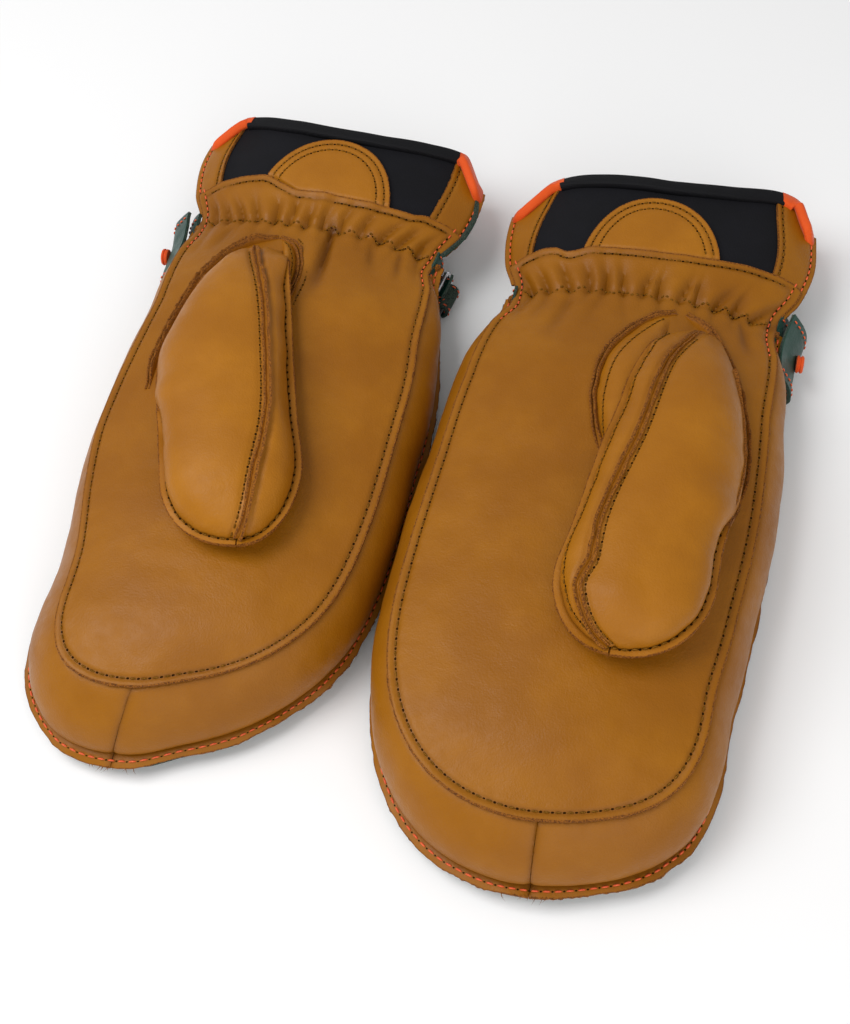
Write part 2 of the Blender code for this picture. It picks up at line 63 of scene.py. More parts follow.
# ---- The drawing: the part's own sizes, but for the fingertip's shape and the palm seam's inset ----
HAND_END_Y = 221.5
LEATHER, GAP = 1.5, 0.4
MOUTH_Y = 283.0
FLEX_AT = np.array((0.0, 227.0, 22.0))  # the wrist joint's place in the drawing
LITTLE_WIDTHS = ((92, 67.5), (140, 66), (180, 63.5), (206, 56), (222, 50))
THUMB_WIDTHS = ((62, 54), (90, 56.5), (140, 59.5), (180, 58), (206, 53.5), (222, 50.5))
CUFF_LITTLE_WIDTHS = ((228, 50), (243, 55.5), (262, 57.5), (290, 55))
CUFF_THUMB_WIDTHS = ((228, 50.5), (243, 57), (262, 60.5), (290, 58))
TIP_FULLNESS = 2.5
PALM_SEAM = {
    "tip_y": 16.0,
    "inset": ((60, 6), (175, 6), (212, 0.8)),
    "narrower": 0.0,
    "square": 2.5,
    "height": ((16, 33), (50, 35), (180, 35), (222, 29)),
}
RIM_SEAM = {
    "tip_y": 4.0,
    "inset": ((40, 3), (180, 3), (222, 1)),
    "narrower": 0.0,
    "square": 2.5,
    "height": ((4, 8), (150, 8), (190, 14), (222, 24)),
}
PALM_CROWN = ((16, 0), (40, 5), (90, 7.5), (180, 7), (222, 7))
BACK_BOTTOM = ((4, 6), (22, 0.6), (36, 0), (172, 0), (198, 6.5), (213, 10), (228, 11.5))
CUFF_SIDE_HEIGHT = 24.5
CUFF_CROWN = ((228, 36), (243, 39), (262, 40), (290, 39))
CUFF_BOTTOM = ((228, 11.5), (243, 7.5), (262, 3.5), (290, 3))
SWING_ABOUT = np.array((15.0, 188.0))
THUMB_BASE_Y = 204.0

# ---- Sizes that only the looks have ----
SPINE_Y = 70.0  # the panels' rows fan out round this point towards the fingertip
STITCH_INSET = 2.8  # from the palm's raw edge to the stitches beside it
THUMB_INSET, CUFF_INSET, PATCH_INSETS = 2.4, 2.4, (2.4, 5.6)  # the same on other panels
FLANGE = 3.8  # how far the rim seam's raw edges stand out
ZIGZAG_Y = 225.5  # the elastic's stitches
ZIGZAG_LONG, ZIGZAG_HIGH = 7.6, 2.6  # one turn of the zigzag
WRIST_BLEND = (217.0, 237.0)  # two places across the wrist; their points are worked out but not used
PALM_ROWS_END = 244.0  # before its raw edge is drawn in to its real line
RED_FROM_Y = 208.0  # nearer the cuff, the side stitches are orange
THUMB_START, THUMB_END = -7.0, 138.0  # along the thumb, from the gathers to its tip
THUMB_FLANGE = 2.7  # how far its side seams' raw edges stand out
THUMB_SEAM_Z, THUMB_UNDER_Z = 49.8, 48.3  # its side seams, and the panel under them
# the height of the ridge, over the distance from the thumb's base
THUMB_TOP = ((-7, 35.5), (-3, 41.0), (3, 46.5), (12, 51), (26, 56), (46, 60), (74, 62), (104, 61.5))
THUMB_COLUMNS = {"outer": 44, "inner": 22}  # of points, from the ridge to the side seam
THUMB_LEATHER, STRIP_LEATHER = 1.2, 1.1  # thinner than the hand's
RIBBON_THICK = 0.9  # a raw edge that stands up from a seam
LINING_INSET = 4.6  # from the cuff's skin
CUFF_CORE = (0, 262, 20)  # a point inside the cuff, which its normals face away from
STRAP_THICK = 1.4
KNOB_PROFILE = (  # of the strap's round pull: (place along it, radius)
    (0, 2.6), (0.2, 3.2), (0.9, 3.4), (1.2, 2.9), (1.6, 2.9), (1.9, 3.4), (2.6, 3.2), (2.9, 2.5), (2.9, 0.6),
)
# x and z, about 8 mm further in than in the part's source
FOLD_AT, RING_BAR_AT = np.array((-52.5, 5.6)), np.array((-51.5, 14.6))
FAR = 99.0  # a distance from an edge at which nothing of it shows
MERGE_M = 1.5e-6  # points nearer than this are one

# ---- The photograph's view and light ----
AZIMUTH, ELEVATION, ROLL = math.radians(19.5), math.radians(57), math.radians(-6.44)
CAMERA_DISTANCE, CAMERA_LENS = 0.5493, 54.2
LOOK_AT = Vector((0.0059, -0.0281, 0.020))
FLOOR_WHITE, WORLD_STRENGTH = 0.97, 0.43

# What differs between the hands. A line is given as (place, value) knots for along():
# tip_shift            how far the fingertip moves along y, over x
# slim_thumb, _little  how much each side is drawn in, over y
# edge                 y of the gathers' raw edge, over x
# inner, ridge, outer  the thumb's sides and its top line: sideways, over the distance from its base
# mouth                y of the cuff's edge, over the share u of its width
# strips               where the cuff's side strips begin, as shares of its width, over y
# hole_outer and hole_inner are plan points, from the gathers to where the thumb hangs free. palm_folds
# are (x, first y, last y, depth, width), patch is (middle x, half width, top y), and black_tape is the
# shares of the width between which the cuff's edge is black. inner_row is where the stitches lie on the
# thumb's inner panel (0 at the ridge, 1 at its seam), palm_row how far a row of stitches lies from the
# hole (0: no row). A key 1 or -1 is the thumb's or the little finger's side.
HANDS = {
    "left": {
        "seed": 3,
        "turn_deg": 3.5,
        "shift": 8.0,
        "tip_at": -3.0,
        "tip_shift": ((-40, -2), (-10, -2), (24, 1.5), (42, 0), (56, -5)),
        "slim_thumb": ((0, 0), (1, 0)),
        "slim_little": ((0, 0), (1, 0)),
        "palm_seam": {"tip_y": 16.0, "narrower": 1.0, "square": 2.5},
        "palm_folds": ((-28, 218, 196, 0.9, 3.0), (38, 221, 203, 1.0, 2.5), (-44, 221, 206, 0.8, 2.5)),
        "edge": (
            (-52, 239), (-42, 243), (-33, 244.5), (-28, 242), (-20, 244),
            (4, 244.5), (20, 245.5), (34, 247.5), (46, 248), (52, 246),
        ),
        "tip_seam_slant": 0.0,
        "inner": ((-7, -7), (2, -12), (23, -19.5), (43, -21.5), (60, -23.5), (94, -25.5), (118, -27.5)),
        "ridge": ((-7, 1), (6, -2.5), (25, -8.0), (60, -10.5), (99, -15.5), (112, -15), (125, -19.5)),
        "outer": ((-7, 4), (4, 10), (20, 16.5), (42, 23), (62, 26), (76, 25.2), (90, 24.2), (112, 25.2)),
        "inner_row": 0.62,
        "hole_outer": ((17, 219), (26, 211), (34.5, 196), (40.5, 180), (45, 160), (45.5, 143), (43.5, 134)),
        "hole_inner": ((13, 219), (2, 211), (-8, 193), (-10, 175), (-7, 159), (-3, 148)),
        "hole_height": 1.7,
        "palm_row": 0,
        "mouth": (
            (-1, 268), (-0.8, 280), (-0.45, 282), (0, 281.3),
            (0.45, 283.6), (0.83, 289.5), (0.93, 287.5), (1, 277),
        ),
        "strips": {1: ((240, 0.80), (283, 0.76)), -1: ((240, 0.835), (283, 0.745))},
        "patch": (0.2, 26.8, 271.5),
        "black_tape": (-0.76, 0.82),
        "corner_tape": {1: 3.0, -1: 0.8},
        "back_bulge": {1: 0.0, -1: 0.0},
        "strap_y": (206.5, 235),
        "anchor_y": (217, 229),
        "tail_out": 0.0,
    },
    "right": {
        "seed": 8,
        "turn_deg": 14,
        "shift": -5.0,
        "tip_at": -3.5,
        "tip_shift": ((-56, 14), (-36, 13), (-18, 9), (0, 2.5), (25, 0.5), (44, 0), (56, -4)),
        "slim_thumb": ((20, 1), (60, 3.5), (170, 4), (205, 1.5), (225, 0)),
        "slim_little": ((20, 4), (60, 3), (110, 1), (150, 1), (190, 3), (212, 2.5), (230, 0)),
        "palm_seam": {"tip_y": 18.5, "narrower": 12.0, "square": 3.0},
        "palm_folds": (
            (-7.5, 223, 184, 2.8, 2.6), (-37, 221, 203, 1.0, 2.0),
            (-25, 221, 205, 0.8, 2.5), (34, 220, 204, 0.8, 2.5),
        ),
        "edge": (
            (-54, 240), (-44, 243), (-37, 243), (-32, 241), (10, 240.5),
            (16, 243), (24, 247), (40, 245), (52, 242),
        ),
        "tip_seam_slant": 6.0,
        "inner": ((-5, -8), (8, -12), (20, -13.5), (38, -15.5), (59, -17.5), (84, -20.5), (110, -24)),
        "ridge": ((-5, 2), (35, -6.0), (60, -9.5), (91, -12.0), (122, -9.5)),
        "outer": ((-5, 6), (5, 12), (19, 20.5), (42, 29.5), (57, 33), (70, 32), (91, 28), (116, 25.5)),
        "inner_row": 1.0,
        "hole_outer": ((12, 217), (23.5, 209), (31.3, 195), (35.8, 178), (37.8, 158), (37.6, 144), (36, 133)),
        "hole_inner": ((11, 217), (4, 213), (-1, 204), (-3.5, 191), (-3.5, 181), (-4, 170)),
        "hole_height": 2.2,
        "palm_row": 3.4,
        "mouth": (
            (-1, 268), (-0.85, 280), (-0.6, 277.8), (-0.3, 275.5),
            (0, 275.2), (0.4, 277.5), (0.8, 281.5), (1, 272),
        ),
        "strips": {1: ((240, 0.824), (283, 0.82)), -1: ((240, 0.766), (283, 0.806))},
        "patch": (0.6, 27.5, 269.3),
        "black_tape": (-0.85, 0.79),
        "corner_tape": {1: 0.8, -1: 3.0},
        "back_bulge": {1: 0.0, -1: 4.0},
        "strap_y": (200, 232),
        "anchor_y": (218, 230),
        "tail_out": 1.0,
    },
}


def along(knots, at):
    """A smooth curve through (place, value) knots. It overshoots none, and it is level past both ends."""
    places, values = np.array(knots, float).T
    run, step = np.diff(places), np.diff(values)
    slopes = np.zeros(len(values))
    inner = (values[2:] - values[:-2]) / (places[2:] - places[:-2])
    slopes[1:-1] = np.where(step[1:] * step[:-1] > 0, inner, 0.0)
    at = np.asarray(at, float)
    i = np.clip(np.searchsorted(places, at, side="right") - 1, 0, len(run) - 1)
    t = np.clip((at - places[i]) / run[i], 0, 1)
    rise = values[i] * (2 * t**3 - 3 * t**2 + 1) + values[i + 1] * (3 * t**2 - 2 * t**3)
    bend = slopes[i] * (t**3 - 2 * t**2 + t) + slopes[i + 1] * (t**3 - t**2)
    return rise + bend * run[i]


def smooth(low, high, at):
    t = np.clip((np.asarray(at, float) - low) / (high - low), 0, 1)
    return t * t * (3 - 2 * t)


def bell(at, centre, width):
    return np.exp(-(((at - centre) / width) ** 2))


def unit(vectors):
    length = np.linalg.norm(vectors, axis=-1, keepdims=True)
    return vectors / np.maximum(length, 1e-9)


def stack(x, y, z):
    return np.stack(np.broadcast_arrays(x, y, z), axis=-1).astype(float)


def level(plan, z=0.0):
    """Plan points or directions, as points at a height."""
    return stack(plan[..., 0], plan[..., 1], z)


def noise(points, size, seed):
    """Smooth noise from -1 to 1, with lumps about `size` across."""
    at = np.asarray(points, float) / size + 31.7
    cell = np.floor(at).astype(np.int64)
    inside = at - cell
    inside = inside * inside * (3 - 2 * inside)
    total = np.zeros(at.shape[:-1])
    primes = np.array((73856093, 19349663, 83492791)[: at.shape[-1]])
    for corner in itertools.product((0, 1), repeat=at.shape[-1]):
        mixed = ((cell + corner) * primes).sum(-1) + (seed + 11) * 2654435761
        mixed = (mixed ^ (mixed >> 13)) * 1274126177 & 0xFFFFFFFFFF
        mixed = (mixed ^ (mixed >> 17)) * 668265263 & 0xFFFFFFFFFF
        weight = np.where(corner, inside, 1 - inside).prod(-1)
        total += weight * ((mixed >> 9 & 0xFFFF) / 32767.5 - 1)
    return total


def lumps(points, seed, *layers):
    """Noise of several sizes. The layers are (height, size) pairs."""
    return sum(height * noise(points, size, seed + k) for k, (height, size) in enumerate(layers))


def resample(path, step, *others):
    """A line of points, and whatever goes with them, at an even spacing near `step`."""
    lengths = np.concatenate(([0], np.cumsum(np.linalg.norm(np.diff(path, axis=0), axis=1))))
    count = max(2, int(round(lengths[-1] / step)) + 1)
    places = np.linspace(0, lengths[-1], count)
    picked = []
    for values in (path, *others):
        picked.append(np.stack([np.interp(places, lengths, column) for column in values.T], 1))
    return picked if others else picked[0]


def smooth_path(knots, step):
    """A smooth line through a few plan points, at an even spacing."""
    knots = np.array(knots, float)
    t = np.arange(len(knots))
    fine = np.linspace(0, len(knots) - 1, 40 * len(knots))
    columns = [along(list(zip(t, knots[:, k])), fine) for k in range(knots.shape[1])]
    path = np.stack(columns, 1)
    for _ in range(30):
        path[1:-1] = (path[:-2] + 2 * path[1:-1] + path[2:]) / 4
    return resample(path, step)


# ---- Surfaces of the drawing ----
def tip_reach(y, tip_y, full_y, fullness=TIP_FULLNESS):
    t = np.clip((y - tip_y) / (full_y - tip_y), 0, 1)
    return (1 - (1 - t) ** fullness) ** (1 / fullness)


def seam_half(seam, side, y):
    """How far a long seam lies from the middle at y. side is below 0 for the little finger's side."""
    inset = along(seam["inset"], y)
    little = (along(LITTLE_WIDTHS, y) - inset) * tip_reach(y, seam["tip_y"], LITTLE_WIDTHS[0][0])
    thumb = along(THUMB_WIDTHS, y) - inset - seam["narrower"] * smooth(120, 45, y)
    thumb = thumb * tip_reach(y, seam["tip_y"], THUMB_WIDTHS[0][0], seam["square"])
    return np.where(np.asarray(side) > 0, thumb, little)


def cuff_skin(u, y, upper, inset=0.0):
    """A point of the cuff's skin: u runs from -1 at the little-finger seam to 1 at the thumb seam."""
    width = np.where(u > 0, along(CUFF_THUMB_WIDTHS, y), along(CUFF_LITTLE_WIDTHS, y)) - inset
    if upper:
        z = CUFF_SIDE_HEIGHT + (along(CUFF_CROWN, y) - inset - CUFF_SIDE_HEIGHT) * (1 - np.abs(u) ** 2.6)
    else:
        z = CUFF_SIDE_HEIGHT - (CUFF_SIDE_HEIGHT - along(CUFF_BOTTOM, y) - inset) * (1 - np.abs(u) ** 3.4)
    return stack(u * width, y, z)


def palm_skin(x, y):
    """The palm's smooth skin over a plan point, carried on over the wrist into the cuff's."""
    share = np.clip(np.abs(x) / np.maximum(seam_half(PALM_SEAM, x, y), 1e-6), 0, 1)
    hand_z = along(PALM_SEAM["height"], y) + along(PALM_CROWN, y) * (1 - share**2.2)
    cuff = cuff_skin(np.sign(x) * share, y, True)
    cuffed = smooth(212, 231, y)[..., None]
    return stack(x, y, hand_z) * (1 - cuffed) + cuff * cuffed


def back_skin(x, y):
    """The back panel's outer side: flat where the mitten lies on it, and turned up to the rim seam."""
    share = np.clip(np.abs(x) / np.maximum(seam_half(RIM_SEAM, x, y), 1e-6), 0, 1)
    rim = along(RIM_SEAM["height"], y) - LEATHER - GAP
    low = np.minimum(along(BACK_BOTTOM, y), rim - 1.0)
    return stack(x, y, low + (rim - low) * np.maximum(0, (share - 0.6) / 0.4) ** 2.4)


def skin_normals(skin, x, y, step=0.4):
    across = skin(x + step, y) - skin(x - step, y)
    down = skin(x, y + step) - skin(x, y - step)
    return unit(np.cross(across, down))


def fan_plan(seam, top_y, step=1.0, columns=60, power=1.3):
    """Plan points of a hand panel. Rows run round its outline, columns from there to the middle line."""
    sides = []
    for side in (-1, 1):
        y = seam["tip_y"] + (SPINE_Y - seam["tip_y"]) * np.linspace(0, 1, 3000) ** 3
        arc = resample(np.stack([side * seam_half(seam, side, y), y], 1), step)
        straight = np.arange(SPINE_Y, top_y + 0.01, step)[1:]
        sides.append(np.concatenate([arc, np.stack([side * seam_half(seam, side, straight), straight], 1)]))
    outline = np.concatenate([sides[0][::-1], sides[1][1:]])
    middle = np.stack([np.zeros(len(outline)), np.maximum(outline[:, 1], SPINE_Y)], 1)
    share = (np.linspace(0, 1, columns + 1) ** power)[None, :, None]
    return outline[:, None] * (1 - share) + middle[:, None] * share


# ---- Meshes ----
class Hand:
    """One mitten: what is its own in the drawing, and where it lies in the row's frame."""

    def __init__(self, name):
        joint = next(j for j in frame["joints"] if j["name"] == f"{name}_wrist_flex")
        self.name = name
        self.side = 1 if name == "left" else -1
        self.across = np.array(joint["axis"], float)
        self.forward = np.cross((0, 0, 1), self.across)
        self.look = HANDS[name]
        self.seed = self.look["seed"]
        self.origin = np.array(joint["pos_m"]) - self.turned(FLEX_AT * (self.side, 1, 1)) * MM

    def turned(self, points):
        return points[..., :1] * self.across + points[..., 1:2] * self.forward + points[..., 2:] * UP

    def place(self, points):
        points = np.array(points, float)
        x, y = points[..., 0], points[..., 1]
        slim = np.where(x > 0, along(self.look["slim_thumb"], y), along(self.look["slim_little"], y))
        points[..., 0] = x - np.sign(x) * slim * smooth(20, 60, np.abs(x))
        points[..., 1] = y + along(self.look["tip_shift"], x) * smooth(80, 0, y)
        points = points * (self.side, 1, 1)
        return self.origin + self.turned(points) * MM

    def body(self, part):
        return f"{self.name}_{part}"


def grid_quads(rows, columns, wrap=False):
    """Corner numbers of a grid's faces."""
    i = np.arange(rows - 1)[:, None]
    j = np.arange(columns if wrap else columns - 1)[None, :]
    after = (j + 1) % columns
    corners = [i * columns + j, i * columns + after, (i + 1) * columns + after, (i + 1) * columns + j]
    return np.stack(np.broadcast_arrays(*corners), -1).reshape(-1, 4)


class Piece:
    """Vertices, faces and vertex attributes, gathered until they become one object."""

    def __init__(self):
        self.points, self.quads, self.raw, self.fold, self.slots = [], [], [], [], []
        self.count = 0

    def add(self, points, quads, raw=0.0, fold=0.0, slot=0):
        points = np.asarray(points, float).reshape(-1, 3)
        self.points.append(points)
        self.quads.append(quads + self.count)
        self.raw.append(np.broadcast_to(raw, len(points)).astype(float))
        self.fold.append(np.broadcast_to(fold, len(points)).astype(float))
        self.slots.append(np.full(len(quads), slot))
        self.count += len(points)

    def sheet(
        self, top, normals, thickness, raw=0.0, fold=0.0, wrap=False, seed=0, fuzz=0.18, open_last=False
    ):
        """A sheet of leather: its outer side, its inner side, and a rough cut edge between them.

        A wrapped sheet closes round its columns, and has an edge at both ends. With open_last, the last
        column has no edge, because it lies on the middle line, where the sheet's two halves meet.
        """
        rows, columns = top.shape[:2]
        under = top - normals * thickness
        total = rows * columns
        ids = np.arange(total).reshape(rows, columns)
        raw, fold = (np.broadcast_to(a, (rows, columns)).reshape(-1) for a in (raw, fold))
        quads = grid_quads(rows, columns, wrap)
        faces = [quads, quads[:, ::-1] + total]
        if wrap:
            loops = [(ids[0], True), (ids[-1][::-1], True)]
        elif open_last:
            loops = [(np.concatenate([ids[-1][::-1], ids[::-1, 0][1:], ids[0][1:]]), False)]
        else:
            loops = [(np.concatenate([ids[0, ::-1], ids[1:, 0], ids[-1, 1:], ids[-2:0:-1, -1]]), True)]
        flat_top, flat_under = top.reshape(-1, 3), under.reshape(-1, 3)
        points, extra = [flat_top, flat_under], 2 * total
        middle = flat_top.mean(0)
        for loop, closed in loops:
            half = (flat_top[loop] + flat_under[loop]) / 2
            ahead, behind = np.roll(half, -1, 0), np.roll(half, 1, 0)
            if not closed:
                ahead[-1], behind[0] = half[-1], half[0]
            out = unit(np.cross(ahead - behind, normals.reshape(-1, 3)[loop]))
            out *= np.sign((out * (half - middle)).sum(-1).sum() or 1)
            rough = lumps(half, seed + 5, (1.0, 1.1), (0.6, 0.5))
            ring = half + out * (fuzz * (0.5 + rough))[:, None]
            here = np.arange(len(loop))
            follow = (here + 1) % len(loop)
            if not closed:
                here, follow = here[:-1], here[:-1] + 1
            outer, edge, inner = loop, extra + np.arange(len(loop)), total + loop
            for near, far in ((outer, edge), (edge, inner)):
                faces.append(np.stack([near[here], far[here], far[follow], near[follow]], -1))
            points.append(ring)
            extra += len(loop)
        inner_and_edge = extra - total
        raw = np.concatenate([raw, np.ones(inner_and_edge)])
        fold = np.concatenate([fold, np.zeros(inner_and_edge)])
        self.add(np.concatenate(points), np.concatenate(faces), raw, fold)

    def tube(self, rings, raw=0.0):
        """A closed skin over rings of points, drawn to a point at both ends."""
        rings = np.asarray(rings, float)
        raw = np.pad(np.broadcast_to(raw, rings.shape[:2]), ((1, 1), (0, 0)), "edge")
        ends = [np.broadcast_to(rings[k].mean(0), rings[k].shape)[None] for k in (0, -1)]
        rings = np.concatenate([ends[0], rings, ends[1]])
        self.add(rings, grid_quads(*rings.shape[:2], wrap=True), raw.reshape(-1))

    def make(self, name, hand, kind, body, *nodes):
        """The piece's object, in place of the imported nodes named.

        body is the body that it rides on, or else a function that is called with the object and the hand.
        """
        materials, slot, sharp_deg = KINDS[kind]
        points = hand.place(np.concatenate(self.points))
        quads = np.concatenate(self.quads)
        mesh = bpy.data.meshes.new(name)
        mesh.vertices.add(len(points))
        mesh.vertices.foreach_set("co", points.astype(np.float32).ravel())
        mesh.loops.add(len(quads) * 4)
        mesh.loops.foreach_set("vertex_index", quads.astype(np.int32).ravel())
        mesh.polygons.add(len(quads))
        mesh.polygons.foreach_set("loop_start", np.arange(len(quads), dtype=np.int32) * 4)
        # The second attribute is painted shade: how much creases, seam grooves and hollows are darkened.
        for key, values in (("raw", self.raw), ("fold", self.fold)):
            attribute = mesh.attributes.new(key, "FLOAT", "POINT")
            attribute.data.foreach_set("value", np.concatenate(values).astype(np.float32))
        mesh.polygons.foreach_set("material_index", np.concatenate(self.slots).astype(np.int32))
        mesh.update(calc_edges=True)
        work = bmesh.new()
        work.from_mesh(mesh)
        bmesh.ops.remove_doubles(work, verts=work.verts, dist=MERGE_M)
        bmesh.ops.recalc_face_normals(work, faces=work.faces)
        work.to_mesh(mesh)
        work.free()
        mesh.shade_smooth()
        mesh.set_sharp_from_angle(angle=math.radians(sharp_deg))
        made = bpy.data.objects.new(f"{hand.name}_{name}", mesh)
        bpy.context.scene.collection.objects.link(made)
        for material in materials:
            mesh.materials.append(MATERIALS[material])
        if callable(body):
            body(made, hand)
        else:
            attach(made, hand.body(body))
        if nodes:
            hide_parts(*(hand.body(node) for node in nodes))
        return made


def grid_normals(grid, core):
    """Unit normals of a grid of points, facing away from a core point."""
    along_rows = np.gradient(grid, axis=0)
    along_columns = np.gradient(grid, axis=1)
    normals = np.cross(along_rows, along_columns)
    weak = np.linalg.norm(normals, axis=-1) < 1e-7
    normals = unit(normals)
    for i, j in zip(*np.where(weak)):
        normals[i, j] = normals[max(i - 1, 0), j] if i else normals[1, j]
    if (normals * (grid - np.asarray(core))).sum(-1).mean() < 0:
        normals = -normals
    return unit(normals)


def from_column(grid, column):
    """Each point's distance from its row's point in one column."""
    return np.linalg.norm(grid - grid[:, column][:, None], axis=-1)


def rawness(distance, width):
    """How much of a cut edge's fibrous look shows at a distance from it."""
    return np.clip(1.1 - distance / width, 0, 1)


def line_beside(grid, normals, away, distance):
    """The line over a grid's rows that stays this far from an edge. away is each point's distance from it."""
    line, ups = [], []
    for points, up, far in zip(grid, normals, away):
        order = np.argsort(far)
        line.append([np.interp(distance, far[order], points[order, k]) for k in range(3)])
        ups.append([np.interp(distance, far[order], up[order, k]) for k in range(3)])
    return np.array(line), unit(np.array(ups))


def bead(piece, centre, axes, ahead_by, up_by, girths, flatness, slot):
    """A small closed tube that lies along the first of its axes (ahead, beside, up)."""
    ahead, beside, up = axes
    turns = np.arange(6) * math.pi / 3
    line = centre + np.outer(ahead_by, ahead) + np.outer(up_by, up)
    around = np.outer(np.cos(turns), beside) + np.outer(np.sin(turns) * flatness, up)
    rings = line[:, None] + around[None] * girths[:, None, None]
    piece.add(rings, grid_quads(*rings.shape[:2], wrap=True), slot=slot)


def stitches(piece, path, normals, pitch=3.6, share=0.6, radius=0.3, lift=0.1, hole=0.55):
    """A row of stitches along a line on a surface: short raised threads, and flat dark discs between them,
    painted shade of the needle holes.

    The threads have the piece's first material and the painted holes its second.
    """
    path, normals = resample(path, 0.5, np.broadcast_to(normals, path.shape))
    centres, ups = resample(path, pitch, normals)
    ups = unit(ups)
    ahead = unit(np.gradient(centres, axis=0))
    axes = list(zip(ahead, unit(np.cross(ahead, ups)), ups))
    places = np.array((-1.0, -0.8, -0.35, 0.35, 0.8, 1.0)) * pitch * share / 2
    arch = lift + np.array((-0.35, 0.0, 0.2, 0.2, 0.0, -0.35)) * radius * 2
    girths = np.array((0.02, 0.75, 1.0, 1.0, 0.75, 0.02)) * radius
    for centre, turned in zip(centres, axes):
        bead(piece, centre, turned, places, arch, girths, 1.0, 0)
    # Flat dark discs between the threads: painted shade of the needle holes.
    if hole:
        places = np.array((-1.0, -0.6, 0.0, 0.6, 1.0)) * hole
        girths = np.array((0.02, 0.8, 1.0, 0.8, 0.02)) * hole * 0.85
        for centre, turned in zip((centres[:-1] + centres[1:]) / 2, axes):
            bead(piece, centre, turned, places, np.full(5, 0.02), girths, 0.35, 1)


def fibre(piece, start, out, chance):
    """One loose fibre of a cut edge."""
    length, lean, sag = chance.uniform(0.8, 2.6), chance.uniform(-0.8, 0.8), chance.uniform(-0.5, 0.1)
    beside = np.array((-out[1], out[0], 0.0))
    t = np.linspace(0, 1, 5)[:, None]
    line = start - out * 0.4 + (out * t + beside * lean * t**2 + UP * sag * t**2) * length
    turns = np.arange(4) * math.pi / 2
    around = np.outer(np.cos(turns), beside) + np.outer(np.sin(turns), UP)
    rings = line[:, None] + around[None] * (0.14 * (1.05 - t))[:, None]
    piece.add(rings, grid_quads(*rings.shape[:2], wrap=True), raw=1.0)


def ribbon(piece, path, ups, outs, height, seed, rough=0.3, sink=0.6):
    """A raw leather edge that stands up along a seam, as a closed strip with a ragged top."""
    ragged = height * (1 + rough * noise(path, 1.6, seed) + 0.5 * rough * noise(path, 0.7, seed + 1))
    sway = 0.35 * noise(path, 5.0, seed + 2)[:, None] * outs
    lean = outs * (0.45 * height)[:, None]
    half = outs * RIBBON_THICK / 2
    top = path + ups * ragged[:, None] + lean + sway
    middle = path + ups * (ragged * 0.55)[:, None] + lean * 0.4 + sway * 0.5
    foot = path - ups * sink
    upper = [top - half * 0.8, top + ups * 0.12, top + half * 0.8]
    rings = np.stack([foot - half, middle - half, *upper, middle + half, foot + half], 1)
    piece.tube(rings, (0, 0.35, 0.9, 1, 0.9, 0.35, 0))


# ---- Materials ----
def colour(red, green, blue):
    """An sRGB colour, 0 to 255, as linear RGBA."""
    linear = [c / 255 / 12.92 if c <= 10 else ((c / 255 + 0.055) / 1.055) ** 2.4 for c in (red, green, blue)]
    return (*linear, 1.0)


class Nodes:
    """A small helper to write a material's node tree. Textures are in object coordinates."""

    def __init__(self, name):
        self.material = bpy.data.materials.new(name)
        self.material.use_nodes = True
        self.tree = self.material.node_tree
        self.shader = self.tree.nodes["Principled BSDF"]
        self.coords = self.node("ShaderNodeTexCoord").outputs["Object"]

    def node(self, kind, inputs=(), **values):
        made = self.tree.nodes.new(kind)
        for key, value in values.items():
            setattr(made, key, value)
        for key, value in dict(inputs).items():
            self.feed(made.inputs[key], value)
        return made

    def feed(self, socket, value):
        if isinstance(value, bpy.types.NodeSocket):
            self.tree.links.new(value, socket)
        else:
            socket.default_value = value

    def noise(self, size_mm, detail=2.0, rough=0.5, distortion=0.0):
        made = self.node("ShaderNodeTexNoise", {
            "Vector": self.coords, "Scale": 1 / (size_mm * MM), "Detail": detail, "Roughness": rough,
            "Distortion": distortion,
        })
        return made.outputs["Fac"]

    def cells(self, size_mm):
        made = self.node("ShaderNodeTexVoronoi", {"Vector": self.coords, "Scale": 1 / (size_mm * MM)})
        return made.outputs["Distance"]

    def ribs(self, direction, thread_mm):
        made = self.node("ShaderNodeTexWave", {
            "Vector": self.coords, "Scale": 0.31416 / (thread_mm * MM), "Distortion": 0.6,
        }, bands_direction=direction)
        return made.outputs["Fac"]

    def attribute(self, name):
        return self.node("ShaderNodeAttribute", attribute_name=name).outputs["Fac"]

    def math(self, operation, a, b=0.0, clamp=False):
        return self.node("ShaderNodeMath", {0: a, 1: b}, operation=operation, use_clamp=clamp).outputs[0]

    def ramp(self, value, low, high, out_low=0.0, out_high=1.0):
        made = self.node("ShaderNodeMapRange", interpolation_type="SMOOTHSTEP")
        names = ("Value", "From Min", "From Max", "To Min", "To Max")
        for key, number in zip(names, (value, low, high, out_low, out_high)):
            self.feed(made.inputs[key], number)
        return made.outputs["Result"]

    def mix(self, share, a, b):
        made = self.node("ShaderNodeMix", data_type="RGBA")
        for key, value in (("Factor", share), ("A", a), ("B", b)):
            self.feed(made.inputs[key], value)
        return made.outputs["Result"]

    def bump(self, height, strength, distance_mm, normal=None):
        inputs = {"Height": height, "Strength": strength, "Distance": distance_mm * MM}
        made = self.node("ShaderNodeBump", inputs)
        if normal is not None:
            self.feed(made.inputs["Normal"], normal)
        return made.outputs["Normal"]

    def finish(self, base, roughness, normal=None, **plain):
        self.feed(self.shader.inputs["Base Color"], base)
        self.feed(self.shader.inputs["Roughness"], roughness)
        if normal is not None:
            self.feed(self.shader.inputs["Normal"], normal)
        for key, value in plain.items():
            self.shader.inputs[key.replace("_", " ")].default_value = value
        return self.material


